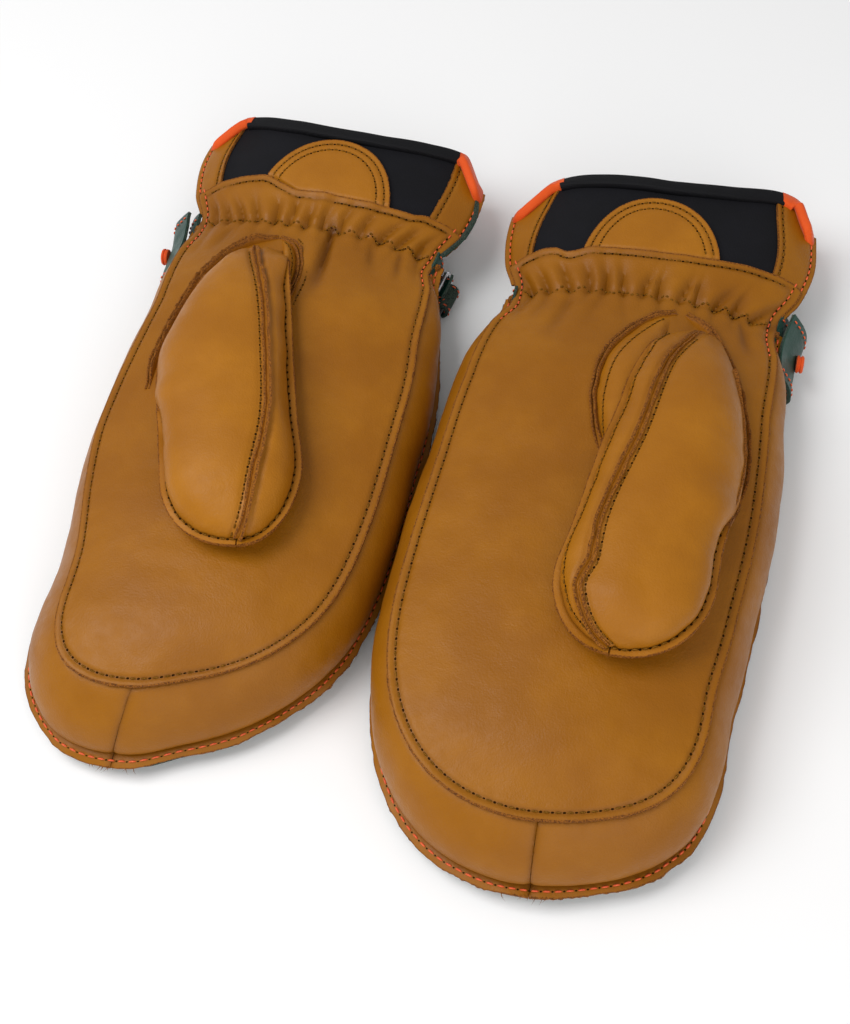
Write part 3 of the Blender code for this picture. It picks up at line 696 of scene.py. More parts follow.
def leather(name, colours, roughness):
    """Smooth full-grain leather: cloudy dye, painted shade in folds and seam grooves, fibrous cut edges,
    fine pores and creases.

    Its colours are the dye, the dye's light clouds, the painted shade of folds (which also colours the
    pores), and a cut edge's light and dark fibres.
    """
    n = Nodes(name)
    base, light, dark, edge, edge_dark = (colour(*c) for c in colours)
    cloud = n.ramp(n.noise(34, 3, 0.55), 0.3, 0.7)
    patch = n.ramp(n.noise(7, 4, 0.6), 0.35, 0.75)
    dye_and_shade = n.mix(cloud, base, light)
    dye_and_shade = n.mix(n.math("MULTIPLY", patch, 0.35), dye_and_shade, base)
    # Painted shade: the dye is darkened towards the fold colour where the mesh marks creases, seam grooves
    # and hollows.
    fold = n.math("MULTIPLY", n.attribute("fold"), 0.85, clamp=True)
    dye_and_shade = n.mix(fold, dye_and_shade, dark)
    dye_and_shade = n.mix(n.ramp(n.cells(0.55), 0.0, 0.22, 0.22, 0.0), dye_and_shade, dark)
    cut = n.mix(n.ramp(n.noise(0.5, 3, 0.7), 0.35, 0.65), edge_dark, edge)
    uneven = n.math("MULTIPLY", n.math("SUBTRACT", n.noise(0.8, 2), 0.5), 0.5)
    raw = n.ramp(n.math("ADD", n.attribute("raw"), uneven), 0.3, 0.75)
    rough = n.math("ADD", n.ramp(n.noise(5, 3, 0.6), 0.3, 0.7, -0.06, 0.06), roughness)
    rough = n.math("ADD", rough, n.math("MULTIPLY", raw, 0.4), clamp=True)
    height = n.bump(n.noise(0.9, 3, 0.65, distortion=0.6), 0.45, 0.2)
    height = n.bump(n.cells(0.7), 0.5, 0.1, height)
    height = n.bump(n.noise(5.0, 3, 0.55, distortion=0.8), 0.3, 0.45, height)
    return n.finish(n.mix(raw, dye_and_shade, cut), rough, height, Specular_IOR_Level=0.23)


def cloth(name, base, light, thread_mm, roughness, sheen=0.2, strength=0.6):
    """A close woven or knitted fabric, from two crossed sets of fine ribs."""
    n = Nodes(name)
    weave = n.math("MULTIPLY", n.ribs("X", thread_mm), n.ribs("Y", thread_mm))
    cloudy = n.ramp(n.noise(14, 3, 0.6), 0.3, 0.7, 0.0, 0.6)
    share = n.math("ADD", n.math("MULTIPLY", weave, 0.5), n.math("MULTIPLY", cloudy, 0.5))
    height = n.bump(weave, strength, 0.12)
    height = n.bump(n.noise(1.2, 3, 0.6), 0.25, 0.12, height)
    tint = n.mix(share, colour(*base), colour(*light))
    return n.finish(tint, roughness, height, Specular_IOR_Level=0.22, Sheen_Weight=sheen, Sheen_Roughness=0.5)


def twist(n):
    """The fine strands of a thread."""
    return n.ramp(n.noise(0.35, 1), 0.35, 0.65)


def mottled(name, dark, light, roughness, pattern=twist, **plain):
    """A look that wavers between two colours. pattern makes their shares from the material's nodes."""
    n = Nodes(name)
    roughness = roughness(n) if callable(roughness) else roughness
    return n.finish(n.mix(pattern(n), colour(*dark), colour(*light)), roughness, **plain)


MATERIALS = {
    # The third colour of each leather is the painted shade of its creases and seam grooves, and also the
    # colour of its pores.
    "tan": leather(
        "tan_leather_look", ((144, 87, 7), (158, 99, 12), (78, 39, 3), (156, 95, 26), (80, 41, 9)), 0.44
    ),
    "light_tan": leather(
        "thumb_leather_look", ((156, 96, 12), (170, 108, 18), (84, 43, 4), (160, 98, 28), (80, 41, 9)), 0.46
    ),
    "green": leather(
        "green_leather_look", ((23, 55, 46), (31, 70, 59), (8, 20, 18), (70, 84, 72), (22, 34, 30)), 0.42
    ),
    "tan_thread": mottled("tan_thread_look", (92, 60, 14), (136, 92, 30), 0.9, Specular_IOR_Level=0.05),
    "orange_thread": mottled("orange_thread_look", (214, 74, 30), (240, 106, 54), 0.55),
    # Painted shade of the stitch holes.
    "hole": mottled(
        "stitch_hole_shade_look", (30, 16, 3), (52, 29, 7), 0.95, lambda n: n.noise(0.6), Specular_IOR_Level=0.03
    ),
    "metal": mottled(
        "ring_metal_look", (190, 190, 195), (215, 215, 218),
        lambda n: n.ramp(n.noise(0.8, 3), 0.3, 0.7, 0.22, 0.4), lambda n: n.noise(3), Metallic=1.0,
    ),
    "softshell": cloth("softshell_look", (10, 10, 14), (20, 20, 27), 0.55, 0.8, 0.0),
    "black_binding": cloth("black_binding_look", (6, 6, 9), (15, 15, 20), 0.45, 0.7, 0.0),
    "orange_binding": cloth("orange_binding_look", (222, 78, 14), (238, 98, 30), 0.45, 0.6, 0.1),
    "fleece": cloth("fleece_look", (14, 14, 17), (30, 30, 36), 1.1, 0.95, 0.5, 1.0),
    "insulation": cloth("insulation_look", (150, 146, 138), (196, 190, 180), 0.9, 0.95, 0.4, 0.9),
    "tape": cloth("hook_tape_look", (8, 8, 8), (30, 30, 30), 0.7, 0.8, 0.3, 1.0),
}

# Each kind of piece: its materials, its slot, and the angle in degrees above which an edge is sharp.
KINDS = {
    "tan": (("tan",), "tan_leather", 50),
    "tan_edges": (("tan",), "tan_leather", 60),
    "light_tan": (("light_tan",), "tan_leather", 50),
    "light_tan_edges": (("light_tan",), "tan_leather", 60),
    "green": (("green",), "green_leather", 50),
    "brown_stitches": (("tan_thread", "hole"), "tan_leather", 80),
    "orange_stitches": (("orange_thread", "hole"), "orange_binding", 80),
    "strap_stitches": (("orange_thread",), "orange_binding", 80),
    "softshell": (("softshell",), "black_softshell", 50),
    "black_binding": (("black_binding",), "black_binding", 50),
    "orange_binding": (("orange_binding",), "orange_binding", 50),
    "fleece": (("fleece",), "fleece", 50),
    "insulation": (("insulation",), "insulation", 50),
    "tape": (("tape",), "hook_tape", 50),
    "metal": (("metal",), "ring_metal", 50),
}


# ---- The hand ----
class Gathers:
    """Folds of the leather where the elastic draws it in: valleys that fan out across the wrist."""

    def __init__(self, seed):
        chance = np.random.default_rng(seed)
        widths = chance.uniform(5.6, 8.8, 14)
        self.valleys = np.cumsum(widths) - widths.sum() / 2
        self.depth = chance.uniform(0.6, 1.4, 14)
        self.reach = chance.uniform(8, 30, 14)
        self.lean = chance.uniform(-0.2, 0.2, 14)
        self.sway = chance.uniform(0, 6.3, 14)

    def line(self, k, y):
        """Where valley k runs at y."""
        x = self.valleys[k]
        fan = x / 50 * 0.42 + self.lean[k]
        bend = 0.9 * (np.sin((y - ZIGZAG_Y) / 5.5 + self.sway[k]) - math.sin(self.sway[k]))
        return x + bend + np.where(y > ZIGZAG_Y, fan, -fan * 0.35 + self.lean[k]) * (y - ZIGZAG_Y)

    def height(self, x, y):
        ends = y + 1.6 * noise(np.stack([x, 0 * x], -1), 7, 4)
        puff = along(((218, 0.2), (223.5, 1.1), (227.5, 2.6), (232.5, 2.4), (237.5, 0.7), (243, 0.2)), ends)
        nearest = np.full(np.shape(x), 9.0)
        depth = np.zeros(np.shape(x))
        for k in range(len(self.valleys)):
            away = np.abs(x - self.line(k, y))
            nearest = np.minimum(nearest, away / (0.8 + 0.2 * self.depth[k]))
            inward = np.clip((ZIGZAG_Y - y) / self.reach[k], 0, 1)
            long_fold = (1 - smooth(0, 1, inward)) * smooth(ZIGZAG_Y + 6, ZIGZAG_Y - 1, y)
            depth = depth + long_fold * self.depth[k] * 1.15 * np.exp(-away / (1.5 + 3.0 * inward))
        ridge = 1 - np.exp(-((nearest / 2.1) ** 1.3))
        outer = smooth(ZIGZAG_Y - 5, ZIGZAG_Y + 1, y)
        groove = 0.9 * bell(y, ZIGZAG_Y, 1.6)
        value = outer * puff * (ridge - 0.45) - depth - groove
        # Painted shade in the gathers' valleys, the long folds and the zigzag's groove.
        dark = np.clip(outer * (1 - ridge) * puff * 0.16 + depth * 0.2 + groove * 0.12, 0, 1)
        return value, dark


def palm_height(h, x, y, flat, gathers, aside, before_end):
    """The palm's relief over its smooth skin, and the painted shade of its folds, seam grooves and cut edge.
    """
    near = np.minimum(aside, before_end)
    folds, dark = gathers.height(x, y)
    for at, top_y, end_y, depth, width in h.look["palm_folds"]:
        reach = np.clip((top_y - y) / (top_y - end_y), -0.3, 1)
        line = at + 3.0 * np.sin(reach * 1.7) * np.sign(at)
        valley = bell(x, line, width * (0.6 + 0.6 * np.abs(reach)))
        valley = valley * (1 - smooth(0.35, 1, reach)) * smooth(-0.3, 0, reach)
        bank = bell(x, line + 2.2 * width, 1.3 * width) * (1 - smooth(0.2, 1, reach))
        folds = folds - depth * valley + 0.45 * depth * bank
        # Painted shade in the fold's valley.
        dark = np.clip(dark + 0.3 * depth * valley, 0, 1)
    calm = smooth(1.0, 9.0, aside) * lumps(flat, h.seed, (0.55, 42), (0.28, 17), (0.1, 6))
    ragged = lumps(flat, h.seed + 6, (1.0, 5.0), (0.5, 2.0))
    seam = -0.55 * bell(near, STITCH_INSET, 0.9) + (0.12 + 0.16 * ragged) * bell(near, 0.6, 0.9)
    pucker = 0.13 * noise(flat, 2.6, h.seed + 3) * bell(near, 4.0, 2.2)
    # Painted shade in the stitch groove and along the cut edge, over the band below it.
    dark = dark + 0.4 * bell(near, STITCH_INSET, 0.8) + 0.5 * bell(near, 0, 0.4)
    return folds * smooth(0.3, 6.0, aside) + calm + seam + pucker, np.clip(dark, 0, 1), rawness(near, 0.75)


def make_palm(h):
    gathers = Gathers(h.seed)
    plan = fan_plan(PALM_SEAM, PALM_ROWS_END)
    x, y = plan[..., 0], plan[..., 1]
    edge_y = along(h.look["edge"], x)
    drawn_in = (edge_y - ZIGZAG_Y) / (PALM_ROWS_END - ZIGZAG_Y)
    y = np.where(y > ZIGZAG_Y, ZIGZAG_Y + (y - ZIGZAG_Y) * drawn_in, y)
    normals = skin_normals(palm_skin, x, y)
    aside = from_column(plan, 0)
    before_end = np.where(y > ZIGZAG_Y, edge_y - y, FAR)
    height, dark, raw = palm_height(h, x, y, np.stack([x, y], -1), gathers, aside, before_end)
    top = palm_skin(x, y) + normals * height[..., None]
    piece = Piece()
    piece.sheet(top, normals, LEATHER, raw, dark, seed=h.seed, open_last=True, fuzz=0.35)
    piece.make("palm", h, "tan", across_wrist, "palm_panel", "wrist_elastic", "wrist_ruffle")

    brown, orange = Piece(), Piece()
    line, ups = line_beside(top, normals, aside, STITCH_INSET)
    keep = line[:, 1] < RED_FROM_Y
    stitches(brown, line[keep], ups[keep])
    for sign in (-1, 1):
        keep = (line[:, 1] > RED_FROM_Y) & (line[:, 0] * sign > 0)
        order = np.argsort(line[keep][:, 1])
        stitches(orange, line[keep][order], ups[keep][order], pitch=3.2)
    orange.make("wrist_side_stitches", h, "orange_stitches", across_wrist)

    def on_palm(line_x, line_y):
        value, _ = gathers.height(line_x, line_y)
        return palm_skin(line_x, line_y) + skin_normals(palm_skin, line_x, line_y) * value[:, None]

    line_x = np.arange(-45.0, 46.0, 0.4)
    wave = 2 * np.abs((line_x / ZIGZAG_LONG) % 1 - 0.5) - 0.5
    zigzag = on_palm(line_x, ZIGZAG_Y + ZIGZAG_HIGH * wave)
    stitches(brown, zigzag, UP, pitch=2.3, radius=0.4, lift=0.3, hole=0.45)
    line_x = np.arange(-44.0, 44.0, 0.5)
    edge_line = on_palm(line_x, along(h.look["edge"], line_x) - STITCH_INSET)
    stitches(brown, edge_line - 0.25 * UP, UP, pitch=3.0)
    brown.make("palm_stitches", h, "brown_stitches", across_wrist)


def across_wrist(made, h):
    """Bakes a piece's placement into its mesh, and leaves it on no body."""
    start, end = (h.place(np.array((0.0, y, FLEX_AT[2]))) for y in WRIST_BLEND)
    h.body("hand")
    h.body("cuff")
    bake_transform(made)


def rim_of(outline):
    """The rim seam's plan points that belong to the palm seam's."""
    x, y = outline[:, 0], outline[:, 1]
    full = np.where(x > 0, THUMB_WIDTHS[0][0], LITTLE_WIDTHS[0][0])
    share = np.clip((y - PALM_SEAM["tip_y"]) / (full - PALM_SEAM["tip_y"]), 0, 1)
    rim_y = np.where(y < full, RIM_SEAM["tip_y"] + (full - RIM_SEAM["tip_y"]) * share, y)
    return np.stack([np.sign(x) * seam_half(RIM_SEAM, x, rim_y), rim_y], 1)


def outward(curve):
    """Plan normals of an outline that runs from the little finger's side round the tip to the thumb's."""
    ahead = np.gradient(curve, axis=0)
    return unit(np.stack([ahead[:, 1], -ahead[:, 0]], 1))


def flange_of(rim, h):
    """How far the rim's raw edges stand out, and how much they lift (or hang, below 0) at their ends."""
    reach = FLANGE + lumps(rim, h.seed, (0.45, 9), (0.2, 2.4))
    return reach, -1.3 + lumps(rim, h.seed + 14, (1.0, 22), (0.6, 8))


def make_bands(h):
    """The side walls, from the palm seam down to the rim seam and out along its raw edge."""
    outline = fan_plan(PALM_SEAM, HAND_END_Y + 4.0)[:, 0]
    rim = rim_of(outline)
    out = level(outward(rim))
    palm_edge = palm_skin(*outline.T) - (LEATHER + GAP) * UP
    rim_line = level(rim, along(RIM_SEAM["height"], rim[:, 1]) + GAP)
    reach, lift = flange_of(rim, h)
    fullness = 4.2 + 0.7 * noise(rim, 30, h.seed + 20)
    fullness = fullness * smooth(HAND_END_Y + 2, 190, outline[:, 1]) + 0.6
    columns = [palm_edge - out * 3.0 + 0.6 * UP, palm_edge - out * 1.2 + 0.25 * UP]
    first = len(columns)
    for s in np.linspace(0, 1, 34):
        bulge = fullness * (4 * s * (1 - s)) ** 0.8
        point = palm_edge * (1 - s) + rim_line * s + out * bulge[:, None]
        ripple = lumps(point, h.seed + 21, (0.35, 16), (0.2, 6)) * math.sin(math.pi * s)
        columns.append(point + out * (ripple - 0.7 * bell(s, 1.0, 0.09))[:, None])
    foot = len(columns) - 1
    for f in (0.12, 0.25, 0.4, 0.55, 0.7, 0.85, 0.94, 1.0):
        columns.append(rim_line + out * (reach * f)[:, None] + UP * (lift * f**1.5)[:, None])
    grid = np.stack(columns, 1)
    down = np.clip((np.arange(grid.shape[1]) - first) / (foot - first), 0, 1)
    tip_line = h.look["tip_seam_slant"] * down
    grid[..., 0] += tip_line * bell(grid[..., 0], 0, 25) * (grid[..., 1] < 60)
    middle = np.argmin(np.abs(outline[:, 0]) + (outline[:, 1] > 60) * 999)
    sides = (("little_finger_side", slice(0, middle + 1), -1, -1), ("thumb_side", slice(middle, None), 0, 1))
    for name, part, tip_row, sign in sides:
        points = grid[part].copy()
        points[tip_row, :, 0] = tip_line + sign * 0.12
        centre_line = stack(0.0, np.maximum(points[:, 5, 1], SPINE_Y), 20.0)
        normals = grid_normals(points, (0, 110, 20))
        facing = ((points - centre_line[:, None]) * normals).sum(-1).mean()
        normals = normals if facing > 0 else -normals
        at_seam = np.abs(points[..., 0] - tip_line)
        points = points - normals * (0.7 * np.exp(-(at_seam / 1.1)))[..., None]
        raw = np.zeros(points.shape[:2])
        raw[:, -3:] = (0.1, 0.5, 1.0)
        raw[:, 0] = 1.0
        # Painted shade: darker along the fingertip's butt seam and in the crease over the rim seam.
        fold = 0.55 * np.exp(-at_seam / 0.8)
        fold[:, foot - 2 : foot + 3] += 0.25
        piece = Piece()
        piece.sheet(points, normals, LEATHER, raw, np.clip(fold, 0, 1), seed=h.seed + 30, fuzz=0.3)
        piece.make(f"band_{name}_skin", h, "tan", "hand", f"band_{name}")
    piece = Piece()
    edge = grid[:, -1]
    tip = np.nonzero((np.abs(edge[:, 0] - h.look["tip_seam_slant"]) < 9) & (edge[:, 1] < 30))[0]
    chance = np.random.default_rng(h.seed + 40)
    for at in chance.choice(tip, 16):
        fibre(piece, edge[at], out[at], chance)
    piece.make("rim_fibres", h, "tan", "hand")

    piece = Piece()
    beside_rim = (grid[:, foot + 3] + grid[:, foot + 4]) / 2
    stitches(piece, beside_rim, UP, share=0.66, lift=0.22, radius=0.34, hole=0.4)
    piece.make("rim_stitches", h, "orange_stitches", "hand")


def make_back(h):
    plan = fan_plan(RIM_SEAM, HAND_END_Y + 5.5, columns=40, power=1.5)
    x, y = plan[..., 0], plan[..., 1]
    rim = plan[:, 0]
    out = outward(rim)
    reach, lift = flange_of(rim, h)
    skin = back_skin(x, y)
    flange = []
    for f in (1.0, 0.8, 0.5, 0.2):
        flange.append(level(rim + out * ((reach - 1.5) * f)[:, None], skin[:, 0, 2] + 0.1 + lift * f**1.5))
    grid = np.concatenate([np.stack(flange, 1), skin], 1)
    normals = -skin_normals(back_skin, x, y)
    normals = np.concatenate([np.broadcast_to(-UP, (len(rim), len(flange), 3)), normals], 1)
    grid[..., 2] += 0.25 * noise(grid[..., :2], 15, h.seed + 40) * smooth(185, 205, grid[..., 1])
    raw = np.zeros(grid.shape[:2])
    raw[:, 0] = 1.0
    piece = Piece()
    piece.sheet(grid, normals, LEATHER - 0.1, raw, seed=h.seed + 41, open_last=True)
    piece.make("back", h, "green", across_wrist, "back_panel")


# ---- The thumb ----
class Thumb:
    """The thumb's lines: d runs along it from its base, and sideways is positive at its outer side."""

    def __init__(self, h):
        self.look = h.look
        turn = math.radians(self.look["turn_deg"])
        reach = THUMB_BASE_Y - SWING_ABOUT[1]
        self.base = SWING_ABOUT + (self.look["shift"] + reach * math.sin(turn), reach * math.cos(turn))
        self.ahead = np.array((-math.sin(turn), -math.cos(turn)))
        self.beside = np.array((math.cos(turn), -math.sin(turn)))
        self.core = (*self.plan(70.0, 2.0), 50.0)

    def plan(self, d, sideways):
        d, sideways = np.asarray(d)[..., None], np.asarray(sideways)[..., None]
        return self.base + d * self.ahead + sideways * self.beside

    def round_off(self, d, start=106.0, power=2.1):
        t = np.clip((d - start) / (THUMB_END - start), 0, 1)
        return np.maximum(1 - t**power, 0) ** (1 / power)

    def edge(self, name, d):
        tip = self.look["tip_at"]
        return tip + (along(self.look[name], d) - tip) * self.round_off(d)

    def outline(self, name, d):
        """Plan points of an edge and their outward plan normals."""
        curve = self.plan(d, self.edge(name, d))
        ahead = np.gradient(curve, axis=0)
        normal = unit(np.stack([-ahead[:, 1], ahead[:, 0]], 1))
        flip = np.sign((normal @ self.beside).mean()) * (1 if name == "outer" else -1)
        tip = smooth(THUMB_END - 3.0, THUMB_END, d)[:, None]
        return curve, unit(normal * flip * (1 - tip) + self.ahead * tip)

    def ridge_height(self, d):
        low = THUMB_SEAM_Z + 0.5
        return low + (along(THUMB_TOP, d) - low) * np.where(d > 90, self.round_off(d, 98.0, 2.2), 1.0)


def bezier(a, b, c, d, t):
    return a * (1 - t) ** 3 + 3 * b * t * (1 - t) ** 2 + 3 * c * t * t * (1 - t) + d * t**3


def thumb_rows():
    t = np.linspace(0, 1, 150)
    return THUMB_START + (THUMB_END - THUMB_START) * (1 - (1 - t) ** 2.0) * 0.99999


def thumb_grid(h, thumb, side):
    """One upper panel of the thumb, from the ridge along its top to its side seam's raw edge."""
    d = thumb_rows()
    curve, out = thumb.outline(side, d)
    if side == "outer":
        free = smooth(66, 84, d)
        flange = 0.5 + (THUMB_FLANGE - 0.5) * smooth(74, 90, d)
    else:
        free = smooth(2, 14, d)
        flange = 0.4 + (THUMB_FLANGE - 0.4) * smooth(4, 26, d)
    flange = flange + 0.25 * noise(curve, 5, h.seed + 50)
    crease = curve - out * flange[:, None]
    palm_z = palm_skin(*crease.T)[:, 2] + 0.5 - 1.5 * smooth(0, THUMB_START, d)
    crease = level(crease, palm_z * (1 - free) + THUMB_SEAM_Z * free)
    ridge = thumb.plan(d - THUMB_FLANGE * smooth(90, THUMB_END, d), thumb.edge("ridge", d))
    ridge = level(ridge, thumb.ridge_height(d))
    span = (crease - ridge) * (1, 1, 0)
    rise = (ridge - crease)[:, 2]
    share = thumb.round_off(d, 90, 2.2) * smooth(-7, 14, d)
    if side == "outer":
        near = ridge + span * 0.36 + UP * (4.6 * share)[:, None]
        far = crease + span * (0.10 * share)[:, None] + UP * (rise * 0.98 + 3.0 * share)[:, None]
    else:
        near = ridge + span * 0.45 + UP * (1.0 * share)[:, None]
        far = crease + span * (0.22 * share)[:, None] + UP * (rise * 0.62)[:, None]
    t = np.linspace(0, 1, THUMB_COLUMNS[side])
    body = bezier(*(points[:, None] for points in (ridge, near, far, crease)), t[None, :, None])
    normals = grid_normals(body, thumb.core)
    from_ridge = from_column(body, 0)
    tip_folds = 0.9 * noise(body * (0.6, 0.6, 0.2), 6, h.seed + 53) * (smooth(108, 126, d) * share)[:, None]
    base_folds = 0.6 * noise(body * (1, 0.35, 0.5), 4, h.seed + 54) * smooth(26, 4, d)[:, None]
    height = lumps(body, h.seed + 51, (0.45, 24), (0.22, 9)) + tip_folds + base_folds
    height = height * smooth(0.5, 5, from_ridge) * np.sin(math.pi * t)[None] ** 0.5
    height = height - 0.5 * bell(from_ridge, THUMB_INSET, 0.9) + 0.35 * bell(from_ridge, 0, 0.9)
    body = body + normals * height[..., None]
    lift = lumps(curve, h.seed + 55, (0.5, 14), (0.3, 5))
    edge = []
    for s in (0.15, 0.3, 0.5, 0.7, 0.88, 1.0):
        edge.append(crease + level(out) * (flange * s)[:, None] + UP * (lift * s**1.5 + 0.15)[:, None])
    grid = np.concatenate([body, np.stack(edge, 1)], 1)
    normals = grid_normals(grid, thumb.core)
    # Painted shade in the crease at the side seam.
    fold = 0.5 * bell(np.linalg.norm(grid - crease[:, None], axis=-1), 0, 0.9)
    return grid, normals, rawness(from_column(grid, -1), 0.5), fold


def lift_with_thumb(made, h):
    """Bakes a piece's placement into its mesh, and leaves it on no body."""
    low = np.array((15.0, 206.0, 42.5))
    start, end = h.place(low), h.place(low + np.array((0.0, -0.0712, 0.9975)) * 9.0)
    h.body("hand")
    h.body("thumb")
    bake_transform(made)


def thumb_under(thumb):
    """The panel on the thumb's underside, between its two side seams."""
    d = thumb_rows()
    d = d[d > 16]
    edges, creases = [], []
    for side in ("inner", "outer"):
        curve, out = thumb.outline(side, d)
        for inset, lines in ((0.35, edges), (THUMB_FLANGE - 0.35, creases)):
            lines.append(level(curve - out * inset, THUMB_UNDER_Z))
    low = UP * (-2.6 * smooth(16, 40, d) * thumb.round_off(d, 100))[:, None]
    between = []
    for t in np.linspace(0, 1, 26)[1:-1]:
        between.append(creases[0] * (1 - t) + creases[1] * t + low * (1 - (2 * t - 1) ** 4))
    before = [edges[0], (edges[0] + creases[0]) / 2, creases[0]]
    after = [creases[1], (edges[1] + creases[1]) / 2, edges[1]]
    grid = np.stack(before + between + after, 1)
    normals = -np.abs(grid_normals(grid, (0, 120, 90)) * UP)
    return grid, unit(normals)


def make_thumb(h):
    thumb = Thumb(h)
    grids = {}
    for name, side in (("front", "outer"), ("side", "inner")):
        grid, normals, raw, fold = thumb_grid(h, thumb, side)
        grids[side] = grid, normals
        piece = Piece()
        piece.sheet(grid, normals, THUMB_LEATHER, raw, fold, seed=h.seed + 60, fuzz=0.3)
        piece.make(f"thumb_{name}", h, "light_tan", lift_with_thumb, f"thumb_{name}_panel")
    piece = Piece()
    piece.sheet(*thumb_under(thumb), THUMB_LEATHER, seed=h.seed + 61, fuzz=0.25)
    piece.make("thumb_under", h, "light_tan", lift_with_thumb, "thumb_under_panel")

    (outer, outer_normals), (inner, inner_normals) = grids["outer"], grids["inner"]
    ridge = outer[3:-2, 0]
    up = unit(outer_normals[3:-2, 0] + inner_normals[3:-2, 0] + 0.6 * UP)
    away = unit(np.cross(np.gradient(ridge, axis=0), up))
    away = away * np.sign((away[:, :2] @ thumb.beside).mean())
    ridge, up, away = resample(ridge, 0.7, up, away)
    grown = smooth(0, 12, np.arange(len(ridge)))
    piece = Piece()
    ribbon(piece, ridge + away * 0.55, up, away, 0.7 * grown + 0.2, h.seed + 70, rough=0.45)
    ribbon(piece, ridge - away * 0.6, up, -away, 1.2 * grown + 0.2, h.seed + 73, rough=0.4)
    piece.make("thumb_ridge_edges", h, "light_tan_edges", lift_with_thumb)

    piece = Piece()
    chance = np.random.default_rng(h.seed + 41)
    tips = inner[-12:, -1]
    for at in chance.choice(len(tips), 14):
        fibre(piece, tips[at], unit(tips[at] - tips.mean(0) + (0, -3.0, 0)) * (1, 1, 0), chance)
    piece.make("thumb_fibres", h, "light_tan", lift_with_thumb)

    piece = Piece()
    line, ups = line_beside(outer, outer_normals, from_column(outer, 0), THUMB_INSET)
    stitches(piece, line[8:-6], ups[8:-6], pitch=3.2)
    row = int(THUMB_COLUMNS["inner"] * h.look["inner_row"])
    stitches(piece, inner[6:-2, row], inner_normals[6:-2, row], pitch=3.2, lift=0.2)
    free = outer[thumb_rows() > 84, THUMB_COLUMNS["outer"]]
    stitches(piece, free[:-2], UP, pitch=3.2, lift=0.25)
    piece.make("thumb_stitches", h, "brown_stitches", lift_with_thumb)
    make_thumb_hole(h, thumb)
    make_crotch(h)


def make_crotch(h):
    """The leather between the palm and the thumb's underside, where the thumb begins to hang free."""
    inner, outer = (np.array(h.look[name][-1], float) for name in ("hole_inner", "hole_outer"))
    t = np.linspace(0.02, 0.86, 60)[:, None]
    line = inner * (1 - t) + outer * t + np.array((0.0, -7.0)) * np.sin(math.pi * t)
    columns = []
    for s in np.linspace(0, 1, 12):
        at = line * (1 - 0.12 * s) + 0.12 * s * line.mean(0) - (0.0, 3.0 * math.sin(math.pi * s / 2))
        low = palm_skin(*at.T)[:, 2] - 0.6
        columns.append(level(at, low + (47.6 - low) * s))
    grid = np.stack(columns, 1)
    piece = Piece()
    # The whole crotch is darkened with painted shade, as it lies under the thumb.
    piece.sheet(grid, grid_normals(grid, (15, 180, 44)), THUMB_LEATHER, 0.0, 0.35, seed=h.seed + 95)
    piece.make("thumb_crotch", h, "light_tan", lift_with_thumb)


def make_thumb_hole(h, thumb):
    """The seam round the palm's thumb hole, and the keyhole gusset between that seam and the thumb's side."""
    outer, inner = (smooth_path(h.look[name], 0.8) for name in ("hole_outer", "hole_inner"))
    piece = Piece()
    for path, height, sign in ((outer, h.look["hole_height"], 1), (inner, 1.3, -1)):
        count = len(path)
        ahead = unit(np.gradient(path, axis=0))
        out = level(np.stack([-ahead[:, 1], ahead[:, 0]], 1))
        out = out * np.sign(out[count // 2, 0]) * sign
        base, ups = palm_skin(*path.T), skin_normals(palm_skin, *path.T)
        grown = smooth(0, 10, np.arange(count)) * smooth(count - 1, count - 16, np.arange(count))
        for shift, tall, seed in ((0.75, 0.85, 80), (-0.75, 1.0, 83)):
            tall = height * tall * grown + 0.3
            ribbon(piece, base + out * shift, ups, out, tall, h.seed + seed + sign, rough=0.22, sink=1.0)
    piece.make("thumb_hole_edges", h, "tan_edges", "hand")

    t = np.linspace(0, 1, 70)
    hole = np.stack([np.interp(t, np.linspace(0, 1, len(inner)), inner[:, k]) for k in (0, 1)], 1)
    hole = hole + (1.2, 0.0)
    seam, _ = thumb.outline("inner", np.interp(t, (0, 1), (2.0, THUMB_BASE_Y - inner[-1, 1] + 6)))
    seam = hole + (seam + thumb.beside * 3.0 - hole) * smooth(-0.06, 0.2, t)[:, None]
    low = palm_skin(*hole.T) + UP * (0.3 - 1.6 * smooth(0.1, 0, t))[:, None]
    high = level(seam, along(((0, 34.5), (0.12, 41.5), (0.3, 46.5), (1, 48.0)), t))
    columns = []
    for s in np.linspace(0, 1, 18):
        crown = 2.4 * math.sin(math.pi * s) * smooth(0, 0.2, t)[:, None]
        columns.append(low * (1 - s) + high * s + UP * crown)
    grid = np.stack(columns, 1)
    grid[..., 2] += 0.2 * noise(grid, 7, h.seed + 90)
    normals = grid_normals(grid, (10, 150, 0))
    piece = Piece()
    piece.sheet(grid, normals, THUMB_LEATHER, seed=h.seed + 91)
    piece.make("thumb_keyhole", h, "light_tan", lift_with_thumb, "thumb_gusset")
    piece = Piece()
    stitches(piece, grid[6:-4, 4], normals[6:-4, 4], pitch=3.0)
    piece.make("thumb_keyhole_stitches", h, "brown_stitches", lift_with_thumb)
    if h.look["palm_row"]:
        ahead = unit(np.gradient(inner, axis=0))
        line = inner + np.stack([ahead[:, 1], -ahead[:, 0]], 1) * h.look["palm_row"]
        ups = skin_normals(palm_skin, *line.T)
        piece = Piece()
        stitches(piece, (palm_skin(*line.T) + ups * 0.1)[8:-2], ups[8:-2], pitch=3.0)
        piece.make("thumb_hole_stitches", h, "brown_stitches", "hand")


